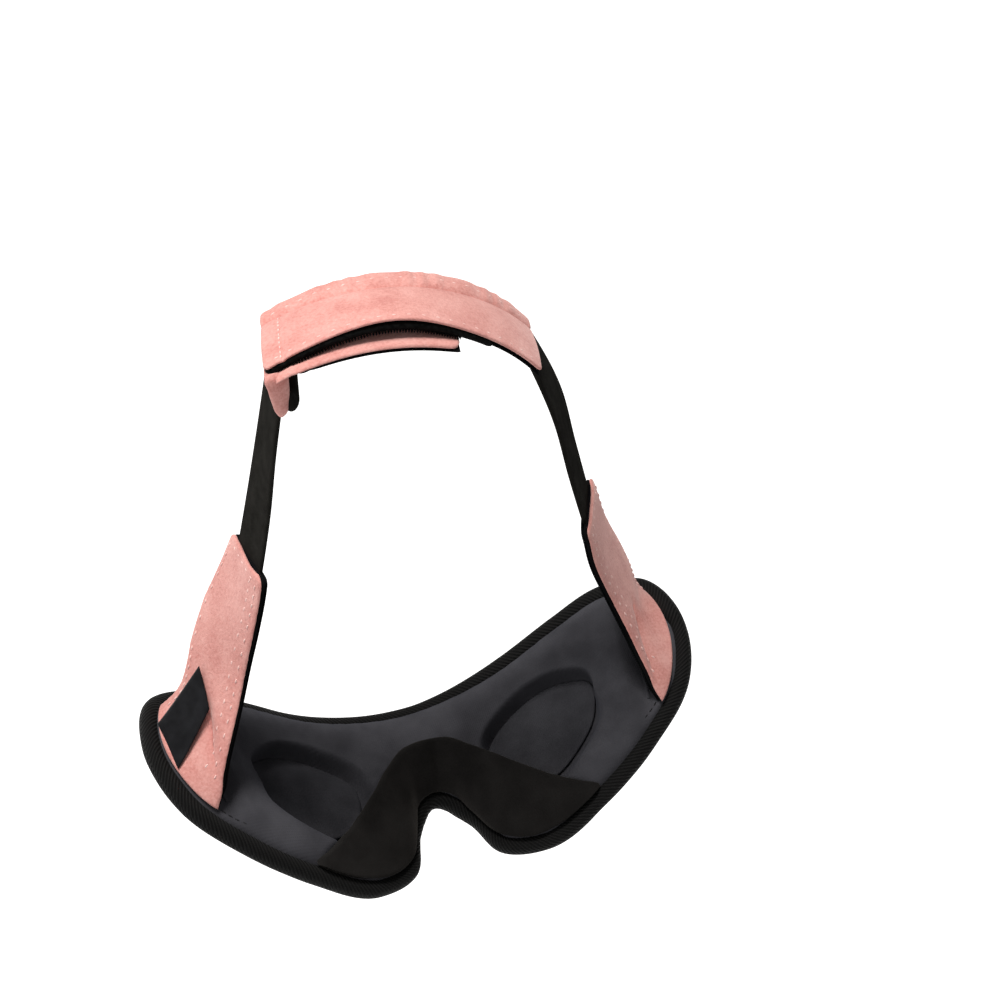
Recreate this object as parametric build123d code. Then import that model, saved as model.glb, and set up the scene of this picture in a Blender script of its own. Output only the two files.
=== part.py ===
from build123d import *
from math import cos, radians, sin
import os

# Eye massager mask: a bent, padded mask with two eye cups and a raised nose flap, held by two
# padded side wings, two elastics and a back strap that closes with a hook-and-loop tab.
# Millimetres. The origin is on the middle surface of the mask over the bridge of the nose.
# +X is the wearer's right as seen from behind the mask, +Y is towards the forehead, and +Z
# points from the mask towards the head.
#
# A place on the mask is (u, v, w): u along the bend, v towards the forehead and w along the
# normal, positive towards the head. A place on the strap loop is (x, height, across): height
# up the loop's leaning plane and across it, positive towards the forehead.

# ---- the mask's bend and outline ----
BEND_RADIUS = 88.0
END_SLOPE = 33.0
STRAIGHT_FROM = BEND_RADIUS * radians(END_SLOPE)
# Right half of the outline, from the middle of the forehead edge round to the nose notch.
HALF_OUTLINE = [
    (0, 33.3), (24, 34.5), (48, 36.8), (70, 39.8), (92, 40.9), (107, 35), (114.2, 13),
    (106, -10), (84, -26), (58, -36.4), (32, -41.2), (16, -35), (9, -20), (0, -10.3),
]
HALF_CUP = [(26, 5), (42, 15), (63, 15.5), (70.5, 8), (60, -7), (41, -15), (27, -6)]

# ---- the mask's layers ----
BINDING_WIDTH = 6.4
BINDING_HALF = 3.4
SKIN = 0.85
GAP = 0.1
PAD_INSET = BINDING_WIDTH + SKIN + 2 * GAP
# Each tier of the padding: how far in from its edge, and its lowest and highest w.
PAD_TIERS = [(0, -4.0, 3.4), (1.6, -6.4, 5.8), (4.2, -8.0, 7.6)]
CUP_FLOOR = -3.0
CUP_INSERT = 1.2

# ---- the nose flap: where it is sewn and its free edge, as right-half (u, v, w) ----
FLAP_SEAM = [(0, -2.6, 6.0), (10, -7.5, 5.8), (14.5, -19, 5.6), (21.5, -28.3, 5.4), (33, -30.5, 5.2), (50, -27, 5.2)]
FLAP_EDGE = [(0, 8.5, 17.5), (14, 6, 16.8), (24, -2, 16), (35, -11.5, 14.5), (46, -20, 11), (54, -25, 7.6)]
FLAP_FACING = 0.7
FLAP_PADDING = 1.4

# ---- the strap loop ----
LOOP_LEAN = 16.0
LOOP_Y = 15.0
LOOP_Z = 30.0
ROOT_W = 5.5                       # the wings fold about a line this high over the mask
ROOT_NEAR = (93.5, -13.5)          # ends of that line, (u, v)
ROOT_FAR = (104.0, 30.0)
WING_START = 0.03                  # the wing begins this share of the way up from its fold line
WING_MARGIN = 9.0                  # flat stretch of the mask inside the fold line
# Each wing's stations above the fold line: (x, height, width, twist in degrees).
WING_STATIONS = {
    "left": [(-73, 44, 31, -23), (-64, 68, 30, -10), (-59, 84, 30, -2)],
    "right": [(76, 38, 30, 33), (66.5, 60, 33, 29), (62, 74, 35, 26)],
}
WING_OUTER = 0.9
WING_PADDING = 1.3
WING_LINING = 0.7
ANCHOR = 0.6
ANCHOR_BAND = (-4.2, -1.4)         # the seam strip's edges, from the fold line
# The label: its span across the wing at its foot and at its top, and how far up it starts and ends.
LABEL_FOOT = (0.34, 0.68)
LABEL_TOP = (0.34, 0.80)
LABEL_RISE = (0.1, 0.8)
LABEL = (0.35, 1.15)               # its two faces, over the wing's outside
ELASTIC_THICKNESS = 1.4
ELASTIC_STATIONS = {
    "left": [(-58.8, 85, 19, -6), (-54.8, 106, 20, -2), (-51.6, 126, 20, 2), (-48.4, 148.8, 19, 3)],
    "right": [(40.6, 140.2, 22, 22), (49.4, 118, 24, 27), (55.8, 95, 24, 27), (61.6, 75.2, 23, 26)],
}

# ---- the top of the loop: concentric bands about one centre ----
ARC_X = -18.0
ARC_HEIGHT = 94.0
TAB_OUTER = (75.4, 76.4)           # inner and outer radius of each layer
HOOKS = (73.6, 75.3)
PILE = (71.9, 73.2)
PILE_LINING = (71.1, 71.8)
STRAP_WIDTH = 33.0
STRAP_SKEW = 15.0
TAB_END = -25.0                    # angles round the arc, 0 at the top and positive to +X
PEEL_ANGLE = 33.0
TAIL_END = 50.0
PILE_END = 24.0
LEG_DROP = 11.0

# ---- the massage module ----
MODULE_Y = 12.5
CASE = (37.0, 23.0)
CASE_FRONT_Z = -5.6
CASE_SPLIT_Z = -1.7
CASE_REAR_Z = 2.8
CASE_WALL = 1.2
BOARD = (33.0, 19.0, 0.8)
BOARD_Z = -2.7
BATTERY = (28.0, 15.0, 3.0)
BUTTON_RADIUS = 4.5
BUTTON_CLEARANCE = 0.35
BUTTON_FACE_Z = -11.2
BUTTON_FLANGE = 0.5
DOME_RADIUS = 2.8
DOME_RISE = 0.45
DOME_THICKNESS = 0.15
LIGHT_X = -12.0
LIGHT_RADIUS = 1.2
LIGHT_CLEARANCE = 0.15
SOCKET_X = 12.4
SOCKET = (8.9, 3.2, 6.4)
BEZEL = (42.0, 14.0, 1.2)
BEZEL_W = PAD_TIERS[-1][1] - SKIN - 3 * GAP
PASS_DEPTH = 13.0
MOTOR_U = 49.0
MOTOR_V = 1.0
MOTOR_RADIUS = 5.0
MOTOR_THICKNESS = 3.0
MOTOR_W = -7.6
LEAD_WIDTH = 3.0
LEAD = (-7.1, -6.4)

FAR = 90.0


# ---------------------------------------------------------------- the mask's coordinates

def bend_point(u, w):
    """(x, z) of a place on the bend."""
    angle = min(abs(u), STRAIGHT_FROM) / BEND_RADIUS
    run = max(abs(u) - STRAIGHT_FROM, 0)
    x = (BEND_RADIUS - w) * sin(angle) + run * cos(angle)
    z = BEND_RADIUS - (BEND_RADIUS - w) * cos(angle) + run * sin(angle)
    return (x if u >= 0 else -x, z)


def mask_point(u, v, w):
    x, z = bend_point(u, w)
    return Vector(x, v, z)


def mask_plane(u, v, w):
    """A plane on the bend whose Z is the mask's normal."""
    origin = mask_point(u, v, w)
    return Plane(origin=origin, x_dir=mask_point(u + 1, v, w) - mask_point(u - 1, v, w),
                 z_dir=mask_point(u, v, w + 1) - origin)


def mirrored(half):
    return half + [(-x, y) for x, y in reversed(half[1:-1])]


def both_halves(half):
    return [(-u, v, w) for u, v, w in reversed(half[1:])] + half


def closed_face(points, inset):
    """A smooth closed face through the points, drawn in by inset (out where it is negative)."""
    curve = Spline(*points, periodic=True)
    if inset:
        turn = 1 if is_counterclockwise(points) else -1
        count = 4 * len(points)
        moved = []
        for step in range(count):
            tangent = curve % (step / count)
            inward = Vector(-tangent.Y, tangent.X, 0) * turn
            moved.append(curve @ (step / count) + inward * inset)
        curve = Spline(*moved, periodic=True)
    return make_face(curve)


def is_counterclockwise(points):
    following = points[1:] + points[:1]
    return sum(a[0] * b[1] - b[0] * a[1] for a, b in zip(points, following)) > 0


def prism(face):
    return extrude(face, FAR, both=True)


def on_bend(points):
    return [(bend_point(u, 0)[0], v) for u, v in points]


def outline(inset):
    return closed_face(mirrored(on_bend(HALF_OUTLINE)), inset)


def cup_face(side, inset):
    return closed_face(on_bend([(side * u, v) for u, v in HALF_CUP]), inset)


def bent_slab(low, high):
    """Everything between two heights over the bend."""
    reach = 130
    edges = []
    for w in (low, high):
        tip_a, bend_a, middle, bend_b, tip_b = [
            bend_point(u, w) for u in (-reach, -STRAIGHT_FROM, 0, STRAIGHT_FROM, reach)]
        edges += [Line(tip_a, bend_a), ThreePointArc(bend_a, middle, bend_b), Line(bend_b, tip_b)]
    for u in (-reach, reach):
        edges.append(Line(bend_point(u, low), bend_point(u, high)))
    return extrude(Plane.XZ * make_face(edges), FAR, both=True)


# ---------------------------------------------------------------- the mask's soft parts

def padding(grow):
    """The padding, thicker by grow all round, with its eye cups and its low stretch at the nose."""
    solid = None
    for number, (inset, low, high) in enumerate(PAD_TIERS):
        tier = prism(outline(PAD_INSET + inset - grow)) & bent_slab(low - grow, high + grow)
        if number:
            tier -= low_zones() & bent_slab(PAD_TIERS[0][2] + grow, 30)
        solid = tier if solid is None else solid + tier
    for side in (-1, 1):
        solid -= prism(cup_face(side, grow - SKIN)) & bent_slab(CUP_FLOOR - SKIN + grow, 30)
    return solid


def low_zones():
    """Where the padding stays low: under the nose flap, and at the ends that carry the wings."""
    edge = [(u, v) for u, v, w in both_halves(FLAP_EDGE)]
    last = edge[-1][0] + 6
    corners = [(-last, edge[0][1])] + edge + [(last, edge[-1][1]), (last, -60), (-last, -60)]
    zones = prism(make_face(Polyline(*on_bend(corners), close=True)))
    (near_u, near_v), (far_u, far_v) = ROOT_NEAR, ROOT_FAR
    slope = (far_u - near_u) / (far_v - near_v)
    for side in (-1, 1):
        corners = [(side * (near_u - WING_MARGIN + slope * (v - near_v)), v) for v in (-60, 60)]
        corners += [(side * 130, 60), (side * 130, -60)]
        zones += prism(make_face(Polyline(*on_bend(corners), close=True)))
    return zones


def module_room():
    """What the module, its button, light and socket take out of the padding and the cover."""
    room = Box(CASE[0] + 0.6, CASE[1] + 0.6, CASE_REAR_Z - CASE_FRONT_Z + 0.6)
    room = Pos(0, MODULE_Y, (CASE_REAR_Z + CASE_FRONT_Z) / 2) * room
    return room + pass_throughs(0.25)


def motor_room():
    room = None
    for side in (-1, 1):
        pocket = motor(side, 0.35)
        pocket += lead(side, 0.25)
        room = pocket if room is None else room + pocket
    return room


def foam_core():
    return padding(0) - module_room() - motor_room()


def skins():
    """The lining on the wearer's side, with its two cups, and the cover on the outside."""
    shell = padding(SKIN + GAP) - padding(GAP)
    inside = bent_slab(GAP, 30)
    for side in (-1, 1):
        inside += prism(cup_face(side, -4)) & bent_slab(CUP_FLOOR - 2, 30)
    return shell & inside, (shell - inside) & bent_slab(-30, -GAP)


def edge_binding():
    return (prism(outline(0)) - prism(outline(BINDING_WIDTH))) & bent_slab(-BINDING_HALF, BINDING_HALF)


def cup_floor(side):
    low = CUP_FLOOR + 2 * GAP
    return prism(cup_face(side, 0.5)) & bent_slab(low, low + CUP_INSERT)


def quad(a, b, inner, outer, normal):
    """A thin four-sided section between two edge points, from inner to outer along the normal."""
    corners = [a + normal * inner, b + normal * inner, b + normal * outer, a + normal * outer]
    return Wire([Edge.make_line(corners[i], corners[(i + 1) % 4]) for i in range(4)])


def flap_layer(inner, outer):
    """One layer of the nose flap, lofted from its seam and free edge."""
    sections = []
    seam = [mask_point(*place) for place in both_halves(FLAP_SEAM)]
    edge = [mask_point(*place) for place in both_halves(FLAP_EDGE)]
    for number, (low, high) in enumerate(zip(seam, edge)):
        before = seam[max(number - 1, 0)]
        after = seam[min(number + 1, len(seam) - 1)]
        normal = (after - before).cross(high - low).normalized()
        sections.append(quad(low, high, inner, outer, normal))
    return Solid.make_loft(sections, ruled=True)


# ---------------------------------------------------------------- the strap loop

def loop_point(x, height, across=0.0, twist=0.0):
    lean = radians(LOOP_LEAN)
    along = across * cos(radians(twist))
    return Vector(x + across * sin(radians(twist)),
                  LOOP_Y + height * sin(lean) + along * cos(lean),
                  LOOP_Z + height * cos(lean) - along * sin(lean))


def edges_at(station):
    """The near and far edge of a strap at one station."""
    x, height, width, twist = station
    return loop_point(x, height, -width / 2, twist), loop_point(x, height, width / 2, twist)


def root_line(side):
    sign = -1 if side == "left" else 1
    return [mask_point(sign * u, v, ROOT_W) for u, v in (ROOT_NEAR, ROOT_FAR)]


def strap_layer(side, pairs, inner, outer):
    """A strap through pairs of near and far edges; inner and outer are measured outwards."""
    sections = []
    for number, (near, far) in enumerate(pairs):
        before = sum(pairs[max(number - 1, 0)], Vector(0, 0, 0))
        after = sum(pairs[min(number + 1, len(pairs) - 1)], Vector(0, 0, 0))
        normal = (far - near).cross(after - before).normalized()
        if (normal.X > 0) != (side == "right"):
            normal = -normal
        sections.append(quad(near, far, inner, outer, normal))
    return Solid.make_loft(sections, ruled=True)


def wing_layer(side, inner, outer):
    low = root_line(side)
    pairs = [edges_at(station) for station in WING_STATIONS[side]]
    start = [a + (b - a) * WING_START for a, b in zip(low, pairs[0])]
    shoulder = [a + (b - a) * 0.5 for a, b in zip(low, pairs[0])]
    return strap_layer(side, [tuple(start), tuple(shoulder)] + pairs, inner, outer)


def elastic(side):
    pairs = [edges_at(station) for station in ELASTIC_STATIONS[side]]
    return strap_layer(side, pairs, -ELASTIC_THICKNESS / 2, ELASTIC_THICKNESS / 2)


def wing_anchor(side):
    """The strip sewn to the mask under the wing's fold line."""
    sign = -1 if side == "left" else 1
    (near_u, near_v), (far_u, far_v) = ROOT_NEAR, ROOT_FAR
    inner, outer = ANCHOR_BAND
    corners = [(near_u + inner, near_v + 3), (near_u + outer, near_v + 3),
               (far_u + outer, far_v - 3), (far_u + inner, far_v - 3)]
    low = PAD_TIERS[0][2] + SKIN + 2 * GAP
    corners = [(bend_point(sign * u, low)[0], v) for u, v in corners]
    return prism(make_face(Polyline(*corners, close=True))) & bent_slab(low, low + ANCHOR)


def arc_point(radius, angle):
    """A point (x, height) on the top arc."""
    return ARC_X + radius * sin(radians(angle)), ARC_HEIGHT + radius * cos(radians(angle))


def across_strap(face, width):
    """A face drawn in (x, height), pulled out to the strap's width along its skewed direction."""
    lean = radians(LOOP_LEAN)
    plane = Plane(origin=(0, LOOP_Y, LOOP_Z), x_dir=(1, 0, 0), z_dir=(0, -cos(lean), sin(lean)))
    skew = loop_point(0, 0, 1, STRAP_SKEW) - loop_point(0, 0)
    near = loop_point(0, 0, -width / 2, STRAP_SKEW) - loop_point(0, 0)
    return Pos(*near) * extrude(plane * face, width, dir=skew)


def arc_face(radii, start, end):
    inner, outer = radii
    middle = (start + end) / 2
    return make_face([
        ThreePointArc(arc_point(inner, start), arc_point(inner, middle), arc_point(inner, end)),
        Line(arc_point(inner, end), arc_point(outer, end)),
        ThreePointArc(arc_point(outer, end), arc_point(outer, middle), arc_point(outer, start)),
        Line(arc_point(outer, start), arc_point(inner, start)),
    ])


def top_band(radii, start, end, width=STRAP_WIDTH):
    return across_strap(arc_face(radii, start, end), width)


def pile_band(radii):
    """The pile strap's arc, with the leg that turns down to the elastic at its left end."""
    inner, outer = radii
    depth = PILE[1] - outer
    corner_x, corner_height = arc_point(PILE[1], TAB_END)
    face = arc_face(radii, TAB_END + 1.2, PILE_END)
    top = corner_height + 0.2 - depth * 0.95
    leg = Pos(corner_x + depth + 0.3, top) * Rectangle(outer - inner, LEG_DROP - depth,
                                                       align=(Align.MIN, Align.MAX))
    return across_strap(face + leg, STRAP_WIDTH - 1)


def side_label():
    """The folded label, flat against the left wing just above its seam."""
    near, far = root_line("left")
    above_near, above_far = edges_at(WING_STATIONS["left"][0])
    foot = [near + (far - near) * share for share in LABEL_FOOT]
    top = [above_near + (above_far - above_near) * share for share in LABEL_TOP]
    pairs = [tuple(a + (b - a) * rise for a, b in zip(foot, top)) for rise in LABEL_RISE]
    skin = WING_OUTER + WING_PADDING / 2
    return strap_layer("left", pairs, skin + LABEL[0], skin + LABEL[1])


# ---------------------------------------------------------------- the massage module

def rounded_block(size, low, high, radius):
    face = RectangleRounded(size[0], size[1], radius)
    return Pos(0, MODULE_Y, low) * extrude(face, high - low)


def pass_throughs(extra=0.0):
    """The ways out for the button, the light and the socket, wider by extra all round."""
    button = Cylinder(BUTTON_RADIUS + BUTTON_CLEARANCE + extra, PASS_DEPTH)
    light = Cylinder(LIGHT_RADIUS + LIGHT_CLEARANCE + extra, PASS_DEPTH)
    slack = 2 * (GAP + extra)
    socket = Box(SOCKET[0] + slack, SOCKET[1] + slack, PASS_DEPTH)
    middle = BOARD_Z - PASS_DEPTH / 2
    ways = Pos(0, MODULE_Y, middle) * button
    ways += Pos(LIGHT_X, MODULE_Y, middle) * light
    return ways + Pos(SOCKET_X, MODULE_Y, middle) * socket


def module_front_case():
    case = rounded_block(CASE, CASE_FRONT_Z, CASE_SPLIT_Z - 0.05, 4)
    inside = [length - 2 * CASE_WALL for length in CASE]
    case -= rounded_block(inside, CASE_FRONT_Z + CASE_WALL, 0, 3)
    return case - pass_throughs()


def module_rear_case():
    case = rounded_block(CASE, CASE_SPLIT_Z + 0.05, CASE_REAR_Z, 4)
    inside = [length - 2 * CASE_WALL for length in CASE]
    return case - rounded_block(inside, CASE_SPLIT_Z, CASE_REAR_Z - CASE_WALL, 3)


def circuit_board():
    return rounded_block(BOARD, BOARD_Z, BOARD_Z + BOARD[2], 2)


def battery():
    low = BOARD_Z + BOARD[2] + 0.2
    return rounded_block(BATTERY, low, low + BATTERY[2], 1.5)


def disc(radius, low, high):
    return Pos(0, MODULE_Y, low) * extrude(Circle(radius), high - low)


def power_button():
    """A cap through the front of the case, a flange that keeps it in, and a stem on the dome."""
    inside = CASE_FRONT_Z + CASE_WALL + GAP
    cap = disc(BUTTON_RADIUS, BUTTON_FACE_Z, inside + BUTTON_FLANGE)
    cap = fillet(cap.faces().sort_by(Axis.Z)[0].edges(), 0.7)
    cap += disc(BUTTON_RADIUS + 1.0, inside, inside + BUTTON_FLANGE)
    return cap + disc(1.0, inside, BOARD_Z - DOME_RISE - DOME_THICKNESS - GAP)


def snap_dome():
    """The metal dome under the button that clicks and pushes it back."""
    ball = (DOME_RADIUS ** 2 + DOME_RISE ** 2) / (2 * DOME_RISE)
    centre = Pos(0, MODULE_Y, BOARD_Z - GAP / 2 - DOME_RISE + ball)
    shell = centre * Sphere(ball + DOME_THICKNESS) - centre * Sphere(ball)
    return shell & disc(DOME_RADIUS, BOARD_Z - 2, BOARD_Z - GAP / 2)


def charge_light():
    low = bend_point(LIGHT_X, BEZEL_W - BEZEL[2])[1] - GAP
    high = BOARD_Z - 0.2
    return Pos(LIGHT_X, MODULE_Y, low) * extrude(Circle(LIGHT_RADIUS), high - low)


def usb_socket():
    """An upright socket shell with its tongue."""
    width, height, depth = SOCKET
    low = BOARD_Z - GAP - depth
    shell = Pos(SOCKET_X, MODULE_Y, low) * extrude(RectangleRounded(width, height, 1.5), depth)
    hollow = Pos(SOCKET_X, MODULE_Y, low) * extrude(RectangleRounded(width - 0.6, height - 0.6, 1.2), depth - 1)
    tongue = Pos(SOCKET_X, MODULE_Y, low + 0.8) * extrude(Rectangle(width - 2.2, 0.7), depth - 1)
    return shell - hollow + tongue


def control_bezel():
    """The oval plate round the button, light and socket on the front cover."""
    plate = extrude(Pos(0, MODULE_Y) * RectangleRounded(BEZEL[0], BEZEL[1], BEZEL[1] / 2 - 0.1), FAR, both=True)
    plate &= bent_slab(BEZEL_W - BEZEL[2], BEZEL_W)
    return plate - pass_throughs()


def motor(side, grow=0.0):
    """A flat coin motor behind an eye cup; grow gives its pocket."""
    plane = mask_plane(side * MOTOR_U, MOTOR_V, MOTOR_W - grow)
    return extrude(plane * Circle(MOTOR_RADIUS + grow), MOTOR_THICKNESS + 2 * grow)


def lead(side, grow=0.0):
    """The flat lead from the module to a motor; grow gives its channel."""
    start = CASE[0] / 2 + GAP
    end = bend_point(MOTOR_U - MOTOR_RADIUS - 0.6, LEAD[0])[0]
    middle = side * (start + end) / 2
    strip = Pos(middle, MOTOR_V + 3, 0) * Box(end - start + 2 * grow, LEAD_WIDTH + 2 * grow, 2 * FAR)
    return strip & bent_slab(LEAD[0] - grow, LEAD[1] + grow)


# ---------------------------------------------------------------- the whole mask

def build_nodes():
    lining, cover = skins()
    nodes = {
        "edge_binding": edge_binding(),
        "foam_core": foam_core(),
        "inner_lining": lining,
        "front_cover": cover - module_room(),
        "hook_tab_outer": top_band(TAB_OUTER, TAB_END, PEEL_ANGLE - 0.6),
        "hook_patch": top_band(HOOKS, TAB_END + 0.8, PEEL_ANGLE - 1.6, STRAP_WIDTH - 3),
        "strap_tail_outer": top_band(TAB_OUTER, PEEL_ANGLE + 0.6, TAIL_END),
        "strap_tail_lining": top_band(HOOKS, PEEL_ANGLE + 1.6, TAIL_END, STRAP_WIDTH - 1),
        "back_strap_pile": pile_band(PILE),
        "back_strap_lining": pile_band(PILE_LINING),
        "side_label": side_label(),
        "module_front_case": module_front_case(),
        "module_rear_case": module_rear_case(),
        "circuit_board": circuit_board(),
        "battery": battery(),
        "power_button": power_button(),
        "snap_dome": snap_dome(),
        "charge_light": charge_light(),
        "usb_socket": usb_socket(),
        "control_bezel": control_bezel(),
    }
    flap = 0.0
    for name, thickness in (("backing", FLAP_FACING), ("padding", FLAP_PADDING), ("facing", FLAP_FACING)):
        nodes["nose_flap_" + name] = flap_layer(flap, flap + thickness)
        flap += thickness + GAP / 2
    for side, sign in (("left", -1), ("right", 1)):
        nodes[side + "_cup_floor"] = cup_floor(sign)
        nodes[side + "_motor"] = motor(sign)
        nodes[side + "_motor_lead"] = lead(sign)
        half = WING_PADDING / 2
        nodes[side + "_wing_lining"] = wing_layer(side, -half - WING_LINING, -half - GAP / 2)
        nodes[side + "_wing_padding"] = wing_layer(side, -half, half)
        nodes[side + "_wing_outer"] = wing_layer(side, half + GAP / 2, half + WING_OUTER)
        nodes[side + "_elastic"] = elastic(side)
        nodes[side + "_wing_anchor"] = wing_anchor(side)
    return nodes


os.makedirs("parts", exist_ok=True)
for node, shape in build_nodes().items():
    export_step(shape, "parts/" + node + ".step")
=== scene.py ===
from math import cos, pi, radians, sin

import bmesh
import bpy
import numpy as np
from mathutils import Matrix, Vector, noise


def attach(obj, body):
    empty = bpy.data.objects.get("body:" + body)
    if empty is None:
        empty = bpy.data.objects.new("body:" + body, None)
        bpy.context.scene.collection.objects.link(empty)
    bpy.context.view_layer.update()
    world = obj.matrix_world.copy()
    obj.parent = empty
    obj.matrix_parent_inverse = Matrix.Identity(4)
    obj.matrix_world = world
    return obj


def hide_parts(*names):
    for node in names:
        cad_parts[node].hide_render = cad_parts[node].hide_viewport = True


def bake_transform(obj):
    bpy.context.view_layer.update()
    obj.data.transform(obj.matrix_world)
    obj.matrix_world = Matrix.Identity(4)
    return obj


# Eye massager mask: its fabrics, padding, seams and hardware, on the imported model's bodies.
# Shapes are worked out in millimetres and turned into metres when a mesh is made.
# A place on the mask is (u, v, w) and a place on the strap loop is (x, height, across).

MM = 0.001
SIGN = {"left": -1, "right": 1}

# ---- the mask's bend and outline ----
BEND_RADIUS = 88.0
END_SLOPE = 33.0
STRAIGHT_FROM = BEND_RADIUS * radians(END_SLOPE)
HALF_OUTLINE = [
    (0, 33.3), (24, 34.5), (48, 36.8), (70, 39.8), (92, 40.9), (107, 35), (114.2, 13),
    (106, -10), (84, -26), (58, -36.4), (32, -41.2), (16, -35), (9, -20), (0, -10.3),
]
HALF_CUP = [(26, 4), (40, 15), (62, 16.5), (72, 10.5), (68.5, -2), (58, -11), (42, -16.5), (28, -8)]

# ---- the mask's layers ----
BINDING_INSET = 3.3                # the roll's middle, from the outline
BINDING_HALF = (3.3, 3.35)         # its half width and half height
BROW_FULLER = (0.2, 1.5)           # at the forehead's right: its extra share, and how far it is raised
STITCH_INSET = 6.75
RIB_PITCH = 1.15
GRID = 0.7                         # spacing of the skins' meshes
SKIN_THICKNESS = 0.75
SKIN_EDGE = 3.2                    # the skins end this far in, inside the roll
SHOULDER = (4.4, 10.0)             # where the padding starts to rise, and over what distance
EDGE_W = 1.4
PLATEAU_W = 8.6
COVER_W = 8.95
LOW_W = 4.3
CUP_BOTTOM = -2.95
CUP_INSERT_W = -1.7
CUP_BOWL = 3.2                     # how far the padding sinks before the cups' steep walls
CUP_WALL = (2.4, 8.0)              # width of the walls, under the forehead and towards the cheeks
WRINKLE = 0.34

# ---- the nose flap ----
FLAP_SEAM = [
    (0, -5, 3.2), (8.8, -9, 3.2), (13, -18.4, 3.2), (18.9, -30.2, 3.2),
    (28, -35.3, 3.2), (40, -36, 3.2), (52, -33.5, 3.2), (59.5, -31, 3.0),
]
FLAP_EDGE = [
    (0, 8.8, 17.3), (12, 7, 17), (21, 1, 16.3), (31, -7.5, 15.3),
    (39, -14.5, 13.5), (47, -21, 10.5), (54, -26, 7.0), (59.5, -29.3, 3.6),
]
FLAP_CREASE = (4.6, 2.8, 1.7)      # a soft fold at this u, this wide and this deep
FLAP_FULL = (17.0, 9.0, 1.3)       # and the fuller part beside it
FLAP_THICKNESS = 2.9
FLAP_SKIN = 0.6
FLAP_FACE_POINTS = (0, 24)         # which points of the flap's section each skin covers
FLAP_BACK_POINTS = (22, 37)
FLAP_PAD_SIZE = 0.42               # the padding's section, as a share of the flap's
SEAM_STRIP = (-6.4, -3.6)          # its two edges, from the wing's fold line

# ---- the strap loop ----
LOOP_LEAN = 16.0
LOOP_Y = 15.0
LOOP_Z = 30.0
ROOT_W = 5.5
ROOT_NEAR = {"left": (96.0, -11.5), "right": (93.5, -14.2)}
ROOT_FAR = (104.0, 30.0)
WING_STATIONS = {
    "left": [(-73, 44, 31, -23), (-64, 68, 30, -10), (-59, 84, 30, -2)],
    "right": [(76, 38, 30, 33), (66.5, 60, 33, 29), (62, 74, 35, 26)],
}
WING_GRID = (84, 26)
WING_WIDTH = 31.0
WING_PUFF = 1.1
WING_PADDING = 1.3
WING_OUTER = 0.9
WING_LINING = 0.7
# How far the wing's foot spreads out to the seam, and how far its far edge is drawn in above that.
FOOT_BULGE = 7.5
WING_WAIST = {"left": 4.2, "right": 0.0}
ELASTIC_STATIONS = {
    "left": [(-58.8, 85, 19, -6), (-54.8, 106, 20, -2), (-51.6, 126, 20, 2), (-48.4, 148.8, 19, 3)],
    "right": [(40.6, 140.2, 22, 22), (49.4, 118, 24, 27), (55.8, 95, 24, 27), (61.6, 75.2, 23, 26)],
}
ELASTIC_THICKNESS = 1.4
ELASTIC_TUCK = 5.5                 # how far its ends run in between the other layers
ELASTIC_LEAN = 1.4                 # how far its upper end leans towards the loop's middle

# ---- the top of the loop ----
ARC_X = -18.0
ARC_HEIGHT = 94.0
TAB_OUTER = (75.4, 76.5)
HOOKS = (73.6, 75.3)
PILE = (71.9, 73.2)
PILE_LINING = (71.1, 71.8)
STRAP_WIDTH = 33.0
STRAP_SKEW = 15.0
TAB_END = -25.0
TAB_SEAM = 0.065                   # its cross seam, as a share of its length
PEEL_ANGLE = 33.0
TAIL_END = 50.0
PILE_END = 24.0
# The pile strap's turned-down end and the elastic's roll behind it, in (x, height).
LEG_OUTLINE = [
    (-51, 160.4), (-50.2, 156.5), (-49.2, 152), (-48, 148.2), (-46.4, 146.3),
    (-44.7, 147.4), (-44, 151.2), (-43.5, 156), (-44.2, 160.2), (-47.6, 161.6),
]
ROLL_CENTRE = (-42.9, 150.9)
ROLL_SIZE = (2.5, 4.3)

# ---- the label ----
# Its sewn edge on the mask, and its free edge as shares (up, across) of the wing.
LABEL_SEWN = [(-107.6, 2.6, 5.6), (-109.6, 21.4, 5.2)]
LABEL_FREE = [(0.312, 0.36), (0.447, 0.66)]
LABEL_STANDOFF = 3.4

# ---- the camera ----
CAMERA_AIM = (-30.0, 49.5413, 11.2887)     # azimuth, elevation and roll, in degrees
CAMERA_SHIFT = (-27.3824, -104.9585)       # of the model's origin in the view
CAMERA_DISTANCE = 717.6983


# ---------------------------------------------------------------- places

def bend(u, w):
    """x and z of places on the mask's bend."""
    u, w = np.asarray(u, float), np.asarray(w, float)
    angle = np.minimum(np.abs(u), STRAIGHT_FROM) / BEND_RADIUS
    run = np.maximum(np.abs(u) - STRAIGHT_FROM, 0)
    x = (BEND_RADIUS - w) * np.sin(angle) + run * np.cos(angle)
    z = BEND_RADIUS - (BEND_RADIUS - w) * np.cos(angle) + run * np.sin(angle)
    return np.sign(u) * x, z


def on_mask(places):
    """Points (..., 3) for mask places (u, v, w)."""
    places = np.asarray(places, float)
    x, z = bend(places[..., 0], places[..., 2])
    return np.stack([x, places[..., 1], z], -1)


def on_loop(x, height, across=0.0, twist=0.0):
    """The point for a place on the strap loop; twist turns the strap about its own length, in degrees."""
    lean, turn = radians(LOOP_LEAN), radians(twist)
    along = across * cos(turn)
    return np.array([x + across * sin(turn),
                     LOOP_Y + height * sin(lean) + along * cos(lean),
                     LOOP_Z + height * cos(lean) - along * sin(lean)])


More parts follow.
